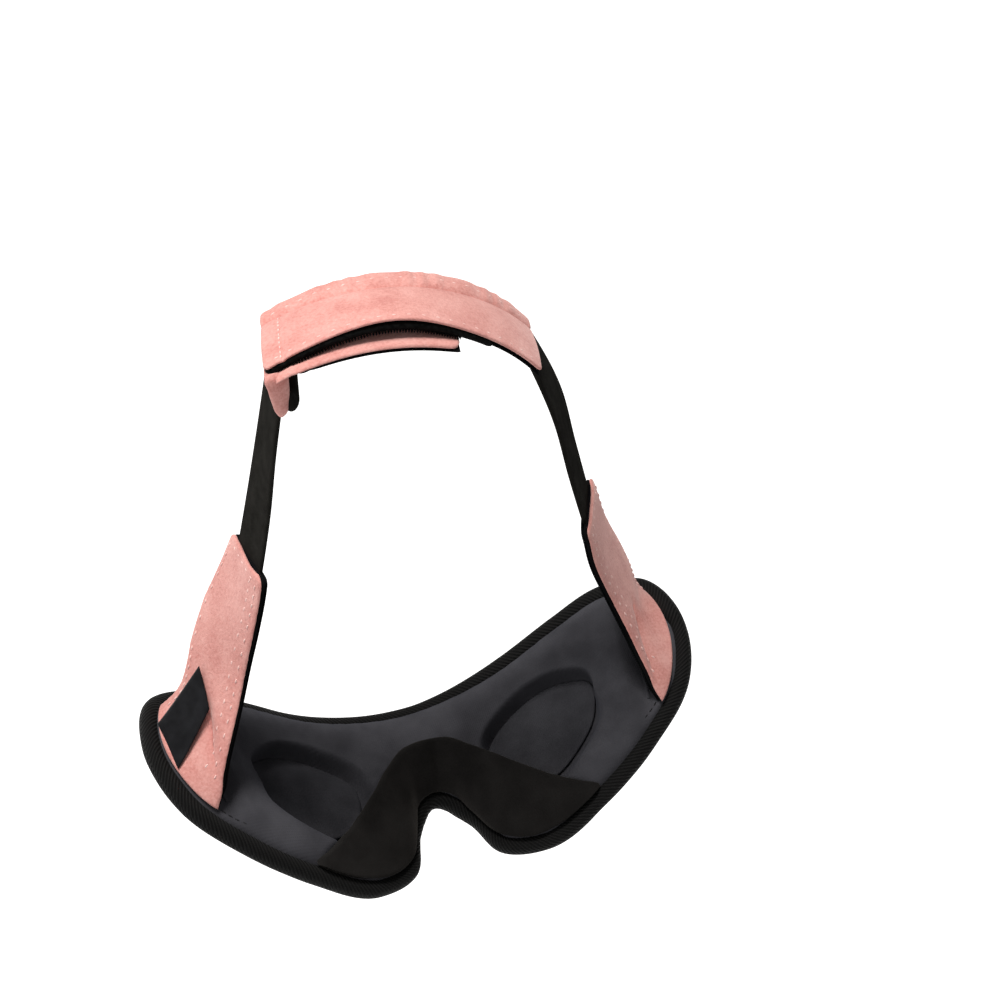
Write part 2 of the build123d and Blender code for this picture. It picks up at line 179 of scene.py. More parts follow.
def smooth_line(points, count, closed=False, even=True):
    """Count points along a smooth curve through the given ones, evenly spread or station by station."""
    points = np.array(points, float)
    ring = np.vstack([points, points[:1]]) if closed else points
    steps = np.linalg.norm(np.diff(ring, axis=0), axis=1)[:, None]
    chords = np.diff(ring, axis=0) / steps
    inner = (chords[:-1] * steps[1:] + chords[1:] * steps[:-1]) / (steps[:-1] + steps[1:])
    if closed:
        joint = (chords[-1] * steps[0] + chords[0] * steps[-1]) / (steps[-1] + steps[0])
        slopes = np.vstack([joint, inner, joint])
    else:
        slopes = np.vstack([1.5 * chords[0] - 0.5 * inner[0], inner, 1.5 * chords[-1] - 0.5 * inner[-1]])
    spans = len(steps)
    places = np.linspace(0, spans, 1 + (40 * spans if even else count - 1))
    number = np.minimum(places.astype(int), spans - 1)
    t = (places - number)[:, None]
    h = steps[number]
    line = ((2 * t**3 - 3 * t**2 + 1) * ring[number] + (t**3 - 2 * t**2 + t) * h * slopes[number]
            + (3 * t**2 - 2 * t**3) * ring[number + 1] + (t**3 - t**2) * h * slopes[number + 1])
    if not even:
        return line
    walked = np.concatenate([[0], np.cumsum(np.linalg.norm(np.diff(line, axis=0), axis=1))])
    wanted = np.linspace(0, walked[-1], count + 1 if closed else count)[:count]
    return np.stack([np.interp(wanted, walked, line[:, k]) for k in range(line.shape[1])], 1)


def mirrored(half):
    return half + [(-x, y) for x, y in reversed(half[1:-1])]


def both_halves(half):
    return [(-u, v, w) for u, v, w in reversed(half[1:])] + half


def inward(line):
    """Unit normals pointing into a closed clockwise or anticlockwise line of (u, v)."""
    ahead = np.roll(line, -1, 0) - np.roll(line, 1, 0)
    normal = np.stack([-ahead[:, 1], ahead[:, 0]], 1)
    area = np.sum(line[:, 0] * np.roll(line[:, 1], -1) - np.roll(line[:, 0], -1) * line[:, 1])
    normal /= np.linalg.norm(normal, axis=1)[:, None]
    return normal * np.sign(area)


def depth_inside(u, v, line):
    """How far places lie inside a closed line; negative outside."""
    flat = np.stack([u.ravel(), v.ravel()], 1)
    nearest = np.empty(len(flat))
    inside = np.zeros(len(flat), bool)
    a, b = line, np.roll(line, -1, 0)
    for start in range(0, len(flat), 4000):
        part = flat[start:start + 4000]
        apart = part[:, None, :] - line[None]
        nearest[start:start + 4000] = np.sqrt((apart**2).sum(2)).min(1)
        above_a = a[None, :, 1] > part[:, None, 1]
        above_b = b[None, :, 1] > part[:, None, 1]
        run = (b[:, 0] - a[:, 0]) / np.where(a[:, 1] == b[:, 1], 1e-9, b[:, 1] - a[:, 1])
        crossing = a[None, :, 0] + (part[:, None, 1] - a[None, :, 1]) * run[None]
        hits = (above_a != above_b) & (part[:, None, 0] < crossing)
        inside[start:start + 4000] = hits.sum(1) % 2 == 1
    return np.where(inside, nearest, -nearest).reshape(u.shape)


def ease(t):
    t = np.clip(t, 0, 1)
    return t * t * (3 - 2 * t)


def ripple(u, v, size, seed):
    """Smooth noise between -1 and 1, with features of this size."""
    u, v = np.broadcast_arrays(u, v)
    flat = [noise.noise(Vector((a / size + seed, b / size - seed, 0.37 * seed)))
            for a, b in zip(u.ravel(), v.ravel())]
    return np.array(flat).reshape(u.shape)


OUTLINE = smooth_line(mirrored(HALF_OUTLINE), 720, closed=True)


def cup_line(side, inset=0.0, count=160):
    line = smooth_line([(side * u, v) for u, v in HALF_CUP], count, closed=True)
    return line + inward(line) * inset


# ---------------------------------------------------------------- meshes

def mesh_object(name, points, faces, smooth=True, uv=None):
    """A mesh from points in millimetres; uv holds one pair for each point."""
    mesh = bpy.data.meshes.new(name)
    mesh.from_pydata([tuple(p) for p in np.asarray(points) * MM], [], [tuple(f) for f in faces])
    mesh.update()
    if uv is not None:
        layer = mesh.uv_layers.new(name="UVMap")
        corner = np.empty(len(mesh.loops), int)
        mesh.loops.foreach_get("vertex_index", corner)
        layer.data.foreach_set("uv", np.asarray(uv, float)[corner].ravel())
    mesh.polygons.foreach_set("use_smooth", [smooth] * len(mesh.polygons))
    made = bpy.data.objects.new(name, mesh)
    bpy.context.scene.collection.objects.link(made)
    return made


def grid_faces(rows, columns, start=0, flip=False, wrap=False):
    faces = []
    for i in range(rows - 1):
        for j in range(columns if wrap else columns - 1):
            k = (j + 1) % columns
            face = (start + i * columns + j, start + i * columns + k,
                    start + (i + 1) * columns + k, start + (i + 1) * columns + j)
            faces.append(face[::-1] if flip else face)
    return faces


def slab(name, outer, inner, uv=None):
    """A closed sheet between two matching grids of points."""
    rows, columns = outer.shape[:2]
    count = rows * columns
    faces = grid_faces(rows, columns)
    faces += grid_faces(rows, columns, count, flip=True)
    rim = [(0, j) for j in range(columns - 1)]
    rim += [(i, columns - 1) for i in range(rows - 1)]
    rim += [(rows - 1, j) for j in range(columns - 1, 0, -1)]
    rim += [(i, 0) for i in range(rows - 1, 0, -1)]
    rim = [i * columns + j for i, j in rim]
    for a, b in zip(rim, rim[1:] + rim[:1]):
        faces.append((b, a, a + count, b + count))
    points = np.vstack([outer.reshape(-1, 3), inner.reshape(-1, 3)])
    if uv is not None:
        uv = np.vstack([uv.reshape(-1, 2)] * 2)
    made = mesh_object(name, points, faces, uv=uv)
    outwards(made)
    return made


def outwards(made, weld=0.0):
    """Point every face of a closed mesh outwards; points closer than weld are joined first."""
    work = bmesh.new()
    work.from_mesh(made.data)
    if weld:
        bmesh.ops.remove_doubles(work, verts=work.verts, dist=weld * MM)
    bmesh.ops.recalc_face_normals(work, faces=work.faces)
    work.to_mesh(made.data)
    work.free()


def closed_loft(name, rings, uv=None):
    """A closed body through rings that have the same number of points, with flat ends."""
    points = np.array(rings)
    rows, columns = points.shape[:2]
    faces = grid_faces(rows, columns, wrap=True)
    faces.append(tuple(range(columns)))
    faces.append(tuple(reversed([(rows - 1) * columns + k for k in range(columns)])))
    made = mesh_object(name, points.reshape(-1, 3), faces, uv=uv)
    outwards(made)
    return made


def soft_spread(count, strength=0.6):
    """Shares from 0 to 1, closer together near both ends."""
    t = np.linspace(0, 1, count)
    return (1 - strength) * t + strength * (1 - np.cos(pi * t)) / 2


def grid_index(share, count):
    """The index, between whole numbers, of a share along a grid's side."""
    return np.interp(share, soft_spread(count), np.arange(count))


def grid_value(grid, s, t):
    """A grid's value at shares s along its rows and t across its columns."""
    i, j = grid_index(s, grid.shape[0]), grid_index(t, grid.shape[1])
    a, c = int(i), int(j)
    b, d = min(a + 1, grid.shape[0] - 1), min(c + 1, grid.shape[1] - 1)
    f, g = i - a, j - c
    return (grid[a, c] * (1 - f) + grid[b, c] * f) * (1 - g) + (grid[a, d] * (1 - f) + grid[b, d] * f) * g


def edge_round(along, across, radius):
    """1 in the middle of a sheet, falling to 0.3 at its edges, for distances from each edge."""
    near = np.clip(np.minimum(along[:, None], across[None, :]) / radius, 0, 1)
    return 0.3 + 0.7 * np.sqrt(np.maximum(1 - (1 - near) ** 2, 0))


def rounded_sheet(name, surface, normals, depths, shares, size, radius, crown=0.0):
    """A sheet between two depths along a surface's normals, with rounded cut edges."""
    (low, high), (s, t), (length, width) = depths, shares, size
    shape = edge_round(np.minimum(s, 1 - s) * length, np.minimum(t, 1 - t) * width, radius)
    middle, half = (low + high) / 2, (high - low) / 2
    outer = surface + normals * (middle + half * shape + crown)[..., None]
    inner = surface + normals * (middle - half * shape + crown * 0.6)[..., None]
    uv = np.stack(np.broadcast_arrays((s * length)[:, None], (t * width)[None, :]), -1)
    return slab(name, outer, inner, uv)


def sheet_layer(name, surface, normals, low, high, length, width, puff=0.0, radius=0.9):
    """A layer of cloth over a surface, from low to high along its normals, puffed up in its middle."""
    s, t = [soft_spread(count) for count in surface.shape[:2]]
    crown = puff * np.outer(np.ones(len(s)), 1 - (2 * t - 1) ** 4)
    return rounded_sheet(name, surface, normals, (low, high), (s, t), (length, width), radius, crown)


def dashes(name, places, directions, normals, size):
    """Small raised oval marks, such as embossed dashes or stitches, as one piece."""
    length, width, height = size
    ring = 8
    points, faces = [], []
    for place, ahead, up in zip(places, directions, normals):
        ahead = ahead / np.linalg.norm(ahead)
        up = up - ahead * np.dot(up, ahead)
        up = up / np.linalg.norm(up)
        aside = np.cross(up, ahead)
        start = len(points)
        for level, scale in ((-0.8, 1.0), (0.45, 0.92), (1.0, 0.5)):
            for k in range(ring):
                angle = 2 * pi * k / ring
                points.append(place + ahead * cos(angle) * scale * length / 2
                              + aside * sin(angle) * scale * width / 2 + up * height * level)
        faces += grid_faces(3, ring, start, wrap=True)
        faces.append(tuple(start + 2 * ring + k for k in range(ring)))
        faces.append(tuple(start + k for k in reversed(range(ring))))
    made = mesh_object(name, points, faces)
    outwards(made)
    return made


# ---------------------------------------------------------------- materials

class Finish:
    """A node material being put together."""

    def __init__(self, name, roughness, sheen=0.0, sheen_tint=(1, 1, 1), metallic=0.0, coat=0.0,
                 specular=0.5):
        self.made = bpy.data.materials.new(name)
        self.made.use_nodes = True
        self.nodes = self.made.node_tree.nodes
        self.links = self.made.node_tree.links
        self.shader = self.nodes["Principled BSDF"]
        self.shader.inputs["Roughness"].default_value = roughness
        self.shader.inputs["Sheen Weight"].default_value = sheen
        self.shader.inputs["Sheen Tint"].default_value = (*sheen_tint, 1)
        self.shader.inputs["Sheen Roughness"].default_value = 0.45
        self.shader.inputs["Metallic"].default_value = metallic
        self.shader.inputs["Coat Weight"].default_value = coat
        self.shader.inputs["Specular IOR Level"].default_value = specular
        self.place = self.nodes.new("ShaderNodeTexCoord")

    def link(self, source, target):
        self.links.new(source, target)
        return self

    def noise(self, size, detail=3.0, source="Object"):
        """Noise with features about this many millimetres across."""
        texture = self.nodes.new("ShaderNodeTexNoise")
        texture.inputs["Scale"].default_value = 1 / (size * (MM if source == "Object" else 1))
        texture.inputs["Detail"].default_value = detail
        self.link(self.place.outputs[source], texture.inputs["Vector"])
        return texture.outputs["Fac"]

    def cells(self, size):
        texture = self.nodes.new("ShaderNodeTexVoronoi")
        texture.inputs["Scale"].default_value = 1 / (size * MM)
        self.link(self.place.outputs["Object"], texture.inputs["Vector"])
        return texture.outputs["Distance"]

    def bands(self, pitch, angle=0.0, source="UV", distort=0.0):
        """Ribs this many millimetres apart, turned by an angle in degrees."""
        turn = self.nodes.new("ShaderNodeMapping")
        turn.inputs["Rotation"].default_value = (0, 0, radians(angle))
        self.link(self.place.outputs[source], turn.inputs["Vector"])
        wave = self.nodes.new("ShaderNodeTexWave")
        unit = MM if source == "Object" else 1
        wave.inputs["Scale"].default_value = 2 * pi / (20 * pitch * unit)
        wave.inputs["Distortion"].default_value = distort
        self.link(turn.outputs["Vector"], wave.inputs["Vector"])
        return wave.outputs["Fac"]

    def blend(self, a, b, kind="ADD"):
        """Two values added or multiplied; b may be a plain number."""
        mix = self.nodes.new("ShaderNodeMath")
        mix.operation = kind
        self.link(a, mix.inputs[0])
        if hasattr(b, "node"):
            self.link(b, mix.inputs[1])
        else:
            mix.inputs[1].default_value = b
        return mix.outputs[0]

    def tones(self, source, stops):
        """Colours along a source value; stops are (place, colour)."""
        ramp = self.nodes.new("ShaderNodeValToRGB")
        while len(ramp.color_ramp.elements) < len(stops):
            ramp.color_ramp.elements.new(0.5)
        for element, (place, colour) in zip(ramp.color_ramp.elements, stops):
            element.position = place
            element.color = (*colour, 1)
        self.link(source, ramp.inputs["Fac"])
        return ramp.outputs["Color"]

    def colour(self, source, stops):
        return self.link(self.tones(source, stops), self.shader.inputs["Base Color"])

    def rough(self, source, low, high):
        spread = self.nodes.new("ShaderNodeMapRange")
        spread.inputs["To Min"].default_value = low
        spread.inputs["To Max"].default_value = high
        self.link(source, spread.inputs["Value"])
        return self.link(spread.outputs["Result"], self.shader.inputs["Roughness"])

    def bump(self, source, depth, strength=1.0):
        """Relief of this depth in millimetres; further calls add to it."""
        bump = self.nodes.new("ShaderNodeBump")
        bump.inputs["Distance"].default_value = depth * MM
        bump.inputs["Strength"].default_value = strength
        self.link(source, bump.inputs["Height"])
        normal = self.shader.inputs["Normal"]
        if normal.links:
            self.link(normal.links[0].from_socket, bump.inputs["Normal"])
        return self.link(bump.outputs["Normal"], normal)


def velvet(name, dark, middle, light):
    """Short-pile velvet: brushed patches, clumps of pile and a soft sheen."""
    finish = Finish(name, 0.95, sheen=0.45, sheen_tint=(1.0, 0.82, 0.78), specular=0.2)
    patches = finish.blend(finish.noise(9, 4), finish.noise(0.9, 3))
    patches = finish.blend(patches, 0.5, kind="MULTIPLY")
    finish.colour(patches, [(0.34, dark), (0.5, middle), (0.66, light)])
    finish.bump(finish.noise(0.35, 2), 0.26, 0.7)
    finish.bump(finish.noise(1.3, 3), 0.35, 0.5)
    return finish.made


def knit(name, dark, light, pitch=0.75, sheen=0.12, roughness=0.85):
    """Fine knit: rows of small loops with a little unevenness."""
    finish = Finish(name, roughness, sheen=sheen, sheen_tint=(0.75, 0.8, 1.0), specular=0.0)
    finish.colour(finish.noise(14, 5), [(0.32, dark), (0.68, light)])
    rows = finish.bands(pitch, 0, "Object", 0.6)
    columns = finish.bands(pitch * 1.25, 90, "Object", 0.6)
    loops = finish.blend(rows, columns, kind="MULTIPLY")
    finish.bump(loops, 0.07, 0.7)
    finish.bump(finish.noise(0.5, 2), 0.08, 0.5)
    finish.rough(finish.noise(6, 3), roughness - 0.08, roughness + 0.08)
    return finish.made


def brushed_fabric(name, dark, light):
    """Matte brushed fabric with a faint nap."""
    finish = Finish(name, 0.93, sheen=0.07, sheen_tint=(1.0, 0.9, 0.82), specular=0.0)
    finish.colour(finish.noise(11, 5), [(0.3, dark), (0.7, light)])
    finish.bump(finish.noise(0.4, 3), 0.14, 0.7)
    finish.bump(finish.noise(2.4, 3), 0.25, 0.35)
    return finish.made


def twill(name, dark, light):
    """Twill tape: diagonal ribs, with fine yarns across them; the ribs' crests are painted lighter and their
    grooves darker, as painted highlight and shade.
    """
    finish = Finish(name, 0.6, sheen=0.02, specular=0.06)
    ribs = finish.bands(RIB_PITCH, 48, "UV", 0.5)
    # Colour along the ribs: painted highlight on the crests, painted shade in the grooves.
    finish.colour(ribs, [(0.1, dark), (0.8, light)])
    finish.bump(ribs, 0.26, 1.0)
    finish.bump(finish.bands(0.34, -60, "UV", 0.4), 0.05, 0.6)
    finish.rough(finish.noise(3, 3), 0.52, 0.72)
    return finish.made


def webbing(name, dark, light):
    """Woven elastic: fine lengthwise cords crossed by short wefts."""
    finish = Finish(name, 0.85, sheen=0.01, specular=0.0)
    cords = finish.bands(0.9, 90, "UV", 0.1)
    wefts = finish.bands(0.55, 0, "UV", 0.3)
    finish.colour(finish.noise(5, 4), [(0.3, dark), (0.7, light)])
    finish.bump(cords, 0.13, 0.8)
    finish.bump(wefts, 0.07, 0.6)
    return finish.made


def satin(name, dark, light):
    """Woven satin: very fine lengthwise floats with a broad gloss."""
    finish = Finish(name, 0.42, sheen=0.02, specular=0.12)
    finish.colour(finish.noise(4, 3), [(0.3, dark), (0.7, light)])
    finish.bump(finish.bands(0.28, 90, "UV", 0.2), 0.03, 0.6)
    finish.rough(finish.noise(2.5, 3), 0.33, 0.48)
    return finish.made


def hook_tape(name):
    finish = Finish(name, 0.7, specular=0.03)
    finish.colour(finish.noise(1.2, 2), [(0.35, (0.003, 0.003, 0.003)), (0.65, (0.009, 0.009, 0.009))])
    finish.bump(finish.cells(0.7), 0.2, 0.8)
    return finish.made


def foam(name):
    finish = Finish(name, 0.95, specular=0.2)
    finish.colour(finish.cells(0.8), [(0.0, (0.30, 0.30, 0.31)), (0.8, (0.55, 0.55, 0.56))])
    finish.bump(finish.cells(0.8), 0.25, 0.9)
    return finish.made


def moulded(name, dark, light, roughness, coat=0.0):
    """Moulded plastic with a fine spark-eroded grain."""
    finish = Finish(name, roughness, coat=coat)
    finish.colour(finish.noise(7, 4), [(0.35, dark), (0.65, light)])
    finish.bump(finish.noise(0.16, 2), 0.02, 0.5)
    finish.rough(finish.noise(4, 4), roughness - 0.06, roughness + 0.08)
    return finish.made


def steel(name):
    finish = Finish(name, 0.3, metallic=1.0)
    finish.colour(finish.noise(3, 4), [(0.35, (0.52, 0.53, 0.55)), (0.65, (0.68, 0.69, 0.7))])
    finish.bump(finish.bands(0.12, 0, "Object", 1.5), 0.01, 0.4)
    finish.rough(finish.noise(2, 4), 0.22, 0.4)
    return finish.made


def board(name):
    finish = Finish(name, 0.4, coat=0.3)
    finish.colour(finish.noise(2.2, 1), [(0.47, (0.01, 0.09, 0.05)), (0.52, (0.02, 0.16, 0.09))])
    finish.bump(finish.bands(1.1, 0, "Object", 3.0), 0.03, 0.5)
    return finish.made


def light_pipe(name):
    finish = Finish(name, 0.35, coat=0.4)
    finish.colour(finish.noise(0.8, 2), [(0.3, (0.72, 0.74, 0.74)), (0.7, (0.86, 0.87, 0.87))])
    finish.bump(finish.noise(0.3, 2), 0.02, 0.4)
    return finish.made


def all_materials():
    """One material for each slot name the pieces use, and one each for the black thread and for the pink
    thread and the dashes' painted highlight.
    """
    return {
        "pink_velvet": velvet("pink_velvet", (0.60, 0.235, 0.205), (0.71, 0.325, 0.285), (0.80, 0.415, 0.37)),
        "black_lining": knit("black_lining", (0.048, 0.047, 0.053), (0.072, 0.0705, 0.079), sheen=0.05),
        "cup_fabric": knit("cup_fabric", (0.036, 0.0355, 0.040), (0.060, 0.059, 0.066), 0.55, 0.05),
        "flap_fabric": brushed_fabric("flap_fabric", (0.0105, 0.0098, 0.0094), (0.0185, 0.0172, 0.0164)),
        "binding_tape": twill("binding_tape", (0.0055, 0.0054, 0.0053), (0.0125, 0.0121, 0.0119)),
        "elastic_web": webbing("elastic_web", (0.012, 0.0112, 0.0098), (0.022, 0.0207, 0.0183)),
        "strap_lining": knit("strap_lining", (0.004, 0.004, 0.0043), (0.008, 0.008, 0.0085), sheen=0.02),
        "hook_tape": hook_tape("hook_tape"),
        "foam": foam("foam"),
        "label_satin": satin("label_satin", (0.006, 0.006, 0.007), (0.013, 0.013, 0.015)),
        "case_plastic": moulded("case_plastic", (0.55, 0.55, 0.54), (0.66, 0.66, 0.65), 0.45),
        "soft_touch": moulded("soft_touch", (0.022, 0.021, 0.021), (0.036, 0.034, 0.034), 0.6),
        "board": board("board"),
        "cell_wrap": moulded("cell_wrap", (0.05, 0.16, 0.38), (0.08, 0.22, 0.47), 0.35, 0.2),
        "steel": steel("steel"),
        "light_pipe": light_pipe("light_pipe"),
        "lead_film": moulded("lead_film", (0.50, 0.26, 0.05), (0.62, 0.36, 0.09), 0.35, 0.3),
        "black_thread": webbing("black_thread", (0.014, 0.014, 0.015), (0.035, 0.034, 0.036)),
        # Lighter pink velvet for the raised dashes: the light thread at the tab's cross seam, and painted
        # highlight on the embossed dashes.
        "pink_thread_and_dash_highlight": velvet("pink_thread_and_dash_highlight", (0.84, 0.50, 0.46), (0.92, 0.62, 0.57), (0.97, 0.72, 0.67)),
    }


# ---------------------------------------------------------------- giving pieces their materials

def finish_piece(made, slot_name, nodes=(), look=None):
    """Give a piece the material named by its slot or its look, and hide the CAD nodes it stands for."""
    made.data.materials.clear()
    made.data.materials.append(MATERIALS[look or slot_name])
    if nodes:
        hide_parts(*nodes)
    return made


# ---------------------------------------------------------------- the mask's soft parts

def skin_grid():
    """The places of the skins' meshes, with their depth inside the outline and the cups."""
    u = np.arange(-116, 116 + GRID, GRID)
    v = np.arange(-43, 43 + GRID, GRID)
    u, v = np.meshgrid(u, v, indexing="ij")
    depth = depth_inside(u, v, OUTLINE)
    cups = np.maximum(depth_inside(u, v, cup_line(-1)), depth_inside(u, v, cup_line(1)))
    return u, v, depth, cups


def shoulder(depth, top):
    """Height of the padding's rounded rise from the binding."""
    rise = np.clip((depth - SHOULDER[0]) / SHOULDER[1], 0, 1)
    return EDGE_W + (top - EDGE_W) * np.sqrt(1 - (1 - rise) ** 2)


def root_u(v):
    """Where the wing's fold line crosses this v."""
    near = ROOT_NEAR["right"]
    slope = (ROOT_FAR[0] - near[0]) / (ROOT_FAR[1] - near[1])
    return near[0] + slope * (v - near[1])


def lining_height(u, v, depth, cups):
    """The wearer's side: a rounded pad with two cups, low under the flap and at the wings."""
    height = shoulder(depth, PLATEAU_W)
    edge = np.array(FLAP_EDGE)
    flap_v = np.interp(np.abs(u), edge[:, 0], edge[:, 1])
    under_flap = ease((flap_v + 1.5 - v) / 7) * ease((62 - np.abs(u)) / 8)
    at_wing = ease((np.abs(u) - root_u(v) + 11) / 8)
    low = np.maximum(under_flap, at_wing)
    height = height + (np.minimum(height, LOW_W) - height) * low
    height = height + 0.35 * ripple(u, v, 24, 3.1) * ease((depth - 8) / 6)
    near_rim = np.exp(-((depth - 8.5) / 3.0) ** 2) * ease((v - 5) / 15)
    folds = np.sin(2 * pi * (u + 3 * ripple(u, v * 0.4, 19, 7.7)) / 6.8)
    folds = folds * (0.55 + 0.6 * ripple(u, v * 0.3, 26, 1.9))
    height = height + WRINKLE * folds * near_rim
    height = height - CUP_BOWL * ease((cups + 12) / 12) * (1 - low)
    wall = CUP_WALL[0] + (CUP_WALL[1] - CUP_WALL[0]) * ease((4 - v) / 13)
    sunk = ease((cups + wall) / (wall + 0.5))
    return height + (CUP_BOTTOM - height) * sunk


def cover_height(u, v, depth):
    """The outside: the same rounded shoulder, fuller in the middle."""
    height = shoulder(depth, COVER_W)
    return -(height + 0.25 * ripple(u, v, 30, 5.3) * ease((depth - 16) / 6) * ease((np.abs(u) - 30) / 10))


def cells_inside(keep):
    """The grid's cells that have all four corners kept, and the corners that those cells use."""
    rows, columns = keep.shape
    cell = keep[:-1, :-1] & keep[1:, :-1] & keep[:-1, 1:] & keep[1:, 1:]
    used = np.zeros_like(keep)
    for di in (0, 1):
        for dj in (0, 1):
            used[di:rows - 1 + di, dj:columns - 1 + dj] |= cell
    return cell, used


def closed_cells(name, cell, used, top, bottom, uv=None):
    """A closed mesh over a grid's cells, with a top and a bottom place for each used corner."""
    total = int(used.sum())
    number = -np.ones(used.shape, int)
    number[used] = np.arange(total)
    faces = []
    edges = {}
    for i, j in zip(*np.nonzero(cell)):
        face = (number[i, j], number[i + 1, j], number[i + 1, j + 1], number[i, j + 1])
        faces += [face, tuple(total + k for k in reversed(face))]
        for a, b in zip(face, face[1:] + face[:1]):
            if edges.pop((b, a), None) is None:
                edges[(a, b)] = True
    faces += [(b, a, total + a, total + b) for a, b in edges]
    made = mesh_object(name, np.vstack([on_mask(top), on_mask(bottom)]), faces, uv=uv)
    outwards(made)
    return made


def skin(name, grid, height, thickness):
    """A sheet over the grid's cells inside the binding; the thickness goes into the padding."""
    u, v, depth, _ = grid
    cell, used = cells_inside(depth > SKIN_EDGE)
    top = np.stack([u[used], v[used], height[used]], 1)
    bottom = top - (0, 0, thickness)
    return closed_cells(name, cell, used, top, bottom, uv=np.vstack([top[:, :2]] * 2))


def foam_body(grid, lining, cover):
    """The padding, closed between the two skins, on every third place of their grid."""
    u, v, depth, _ = [a[::3, ::3] for a in grid]
    lowest = lining.copy()
    for across in range(-3, 4):
        for along in range(-3, 4):
            lowest = np.minimum(lowest, np.roll(lining, (across, along), (0, 1)))
    high, low = lowest[::3, ::3] - 1.1, cover[::3, ::3] + 1.0
    cell, used = cells_inside((depth > 7.4) & (high - low > 1.0))
    top, bottom = [np.stack([u[used], v[used], level[used]], 1) for level in (high, low)]
    return closed_cells("foam_pad", cell, used, top, bottom)


def binding_roll():
    """The twill tape rolled round the mask's edge, fuller at the right of the forehead."""
    line = OUTLINE
    u, v = line.T
    normal = inward(line)
    walked = np.concatenate([[0], np.cumsum(np.linalg.norm(np.diff(line, axis=0), axis=1))])
    total = walked[-1] + np.linalg.norm(line[0] - line[-1])
    at_brow = ease((u - 5) / 40) * ease((v - 8) / 10)
    at_notch = np.exp(-(u / 11) ** 2) * (v < 0)
    swell = 1 + 0.035 * ripple(u, v, 12, 2.2) + BROW_FULLER[0] * at_brow
    swell = swell + 0.09 * ripple(u * 3, v * 3, 5.5, 6.6) * at_notch
    angles = 2 * pi * np.arange(25) / 24
    across = np.sign(np.cos(angles)) * np.abs(np.cos(angles)) ** 0.9
    rise = np.sign(np.sin(angles)) * np.abs(np.sin(angles)) ** 0.9
    points, uv = [], []
    for k in range(len(line) + 1):
        i = k % len(line)
        flat = line[i] + np.outer(BINDING_INSET - across * BINDING_HALF[0] * swell[i], normal[i])
        height = rise * BINDING_HALF[1] * swell[i] + BROW_FULLER[1] * at_brow[i]
        points.append(on_mask(np.column_stack([flat, height])))
        along = total if k == len(line) else walked[i]
        uv.append(np.column_stack([np.full(len(angles), along), angles * BINDING_HALF[1]]))
    faces = grid_faces(len(line) + 1, len(angles))
    made = mesh_object("binding_roll", np.vstack(points), faces, uv=np.vstack(uv))
    outwards(made, weld=0.01)
    return made


def binding_stitches(height_of, side, name):
    """The row of stitches that holds the tape, on one face of the mask."""
    line = smooth_line(mirrored(HALF_OUTLINE), 190, closed=True)
    line = line + inward(line) * STITCH_INSET
    places = np.column_stack([line, height_of(line)])
    ahead = on_mask(np.roll(places, -1, 0)) - on_mask(np.roll(places, 1, 0))
    lifted = places.copy()
    lifted[:, 2] += side
    normals = on_mask(lifted) - on_mask(places)
    return dashes(name, on_mask(places), ahead, normals, (2.1, 0.5, 0.28))


def cup_insert(side, name):
    """The cup's finer bottom piece, slightly crowned, with a turned edge."""
    rim = cup_line(side, 0.2, 120)
    centre = rim.mean(0)
    levels = [(1.0, -0.55), (0.995, 0.05), (0.975, 0.3), (0.945, 0.22), (0.92, 0.05)]
    levels += [(share, 0.05 + 0.35 * (1 - share ** 2)) for share in np.linspace(0.86, 0.06, 12)]
    upper = []
    for share, rise in levels:
        flat = centre + (rim - centre) * share
        soft = 0.25 * ripple(flat[:, 0], flat[:, 1], 16, 8.8) * (share < 0.9)
        upper.append(np.column_stack([flat, CUP_INSERT_W + rise + soft]))
    lower = [row - (0, 0, 0.75) for row in reversed(upper[4:])]
    places = np.array(lower + upper)
    return closed_loft(name, on_mask(places), uv=places[..., :2].reshape(-1, 2))


def flap_frames(count=132):
    """The nose flap's seam, direction, normal and length station by station, and each station's u."""
    seam_line = smooth_line(both_halves(FLAP_SEAM), count, even=False)
    edge_line = smooth_line(both_halves(FLAP_EDGE), count, even=False)
    seam = on_mask(seam_line)
    edge = on_mask(edge_line)
    along = np.gradient(seam, axis=0) + np.gradient(edge, axis=0)
    up = edge - seam
    normal = np.cross(along, up)
    normal /= np.linalg.norm(normal, axis=1)[:, None]
    length = np.linalg.norm(up, axis=1)
    return seam, up / length[:, None], normal, length, (seam_line[:, 0] + edge_line[:, 0]) / 2


def flap_relief(u, heights):
    """How far the flap's surface stands out at u, for heights from 0 at the seam to 1 at the edge."""
    fold = FLAP_CREASE[2] * np.exp(-((u - FLAP_CREASE[0]) / FLAP_CREASE[1]) ** 2)
    full = FLAP_FULL[2] * np.exp(-((u - FLAP_FULL[0]) / FLAP_FULL[1]) ** 2)
    return full * np.sin(pi * np.clip(heights, 0, 1)) - fold * np.exp(-((heights - 0.5) / 0.33) ** 2)


def flap_section(length, share):
    """(distance up, offset) round the flap's section: up its face, over the free edge, down its back."""
    radius = min(FLAP_THICKNESS / 2, 0.38 * length)
    rise = length - radius
    swell = 0.9 * sin(pi * share) * min(1, length / 12)
    face = [(rise * t, 2 * radius + swell * sin(pi * t ** 0.8)) for t in np.linspace(0, 1, 16)]
    turn = [(rise + radius * sin(a), radius + radius * cos(a)) for a in np.linspace(0, pi, 11)[1:-1]]
    back = [(rise * (1 - t), 0.0) for t in np.linspace(0, 1, 12)]
    return np.array(face + turn + back)


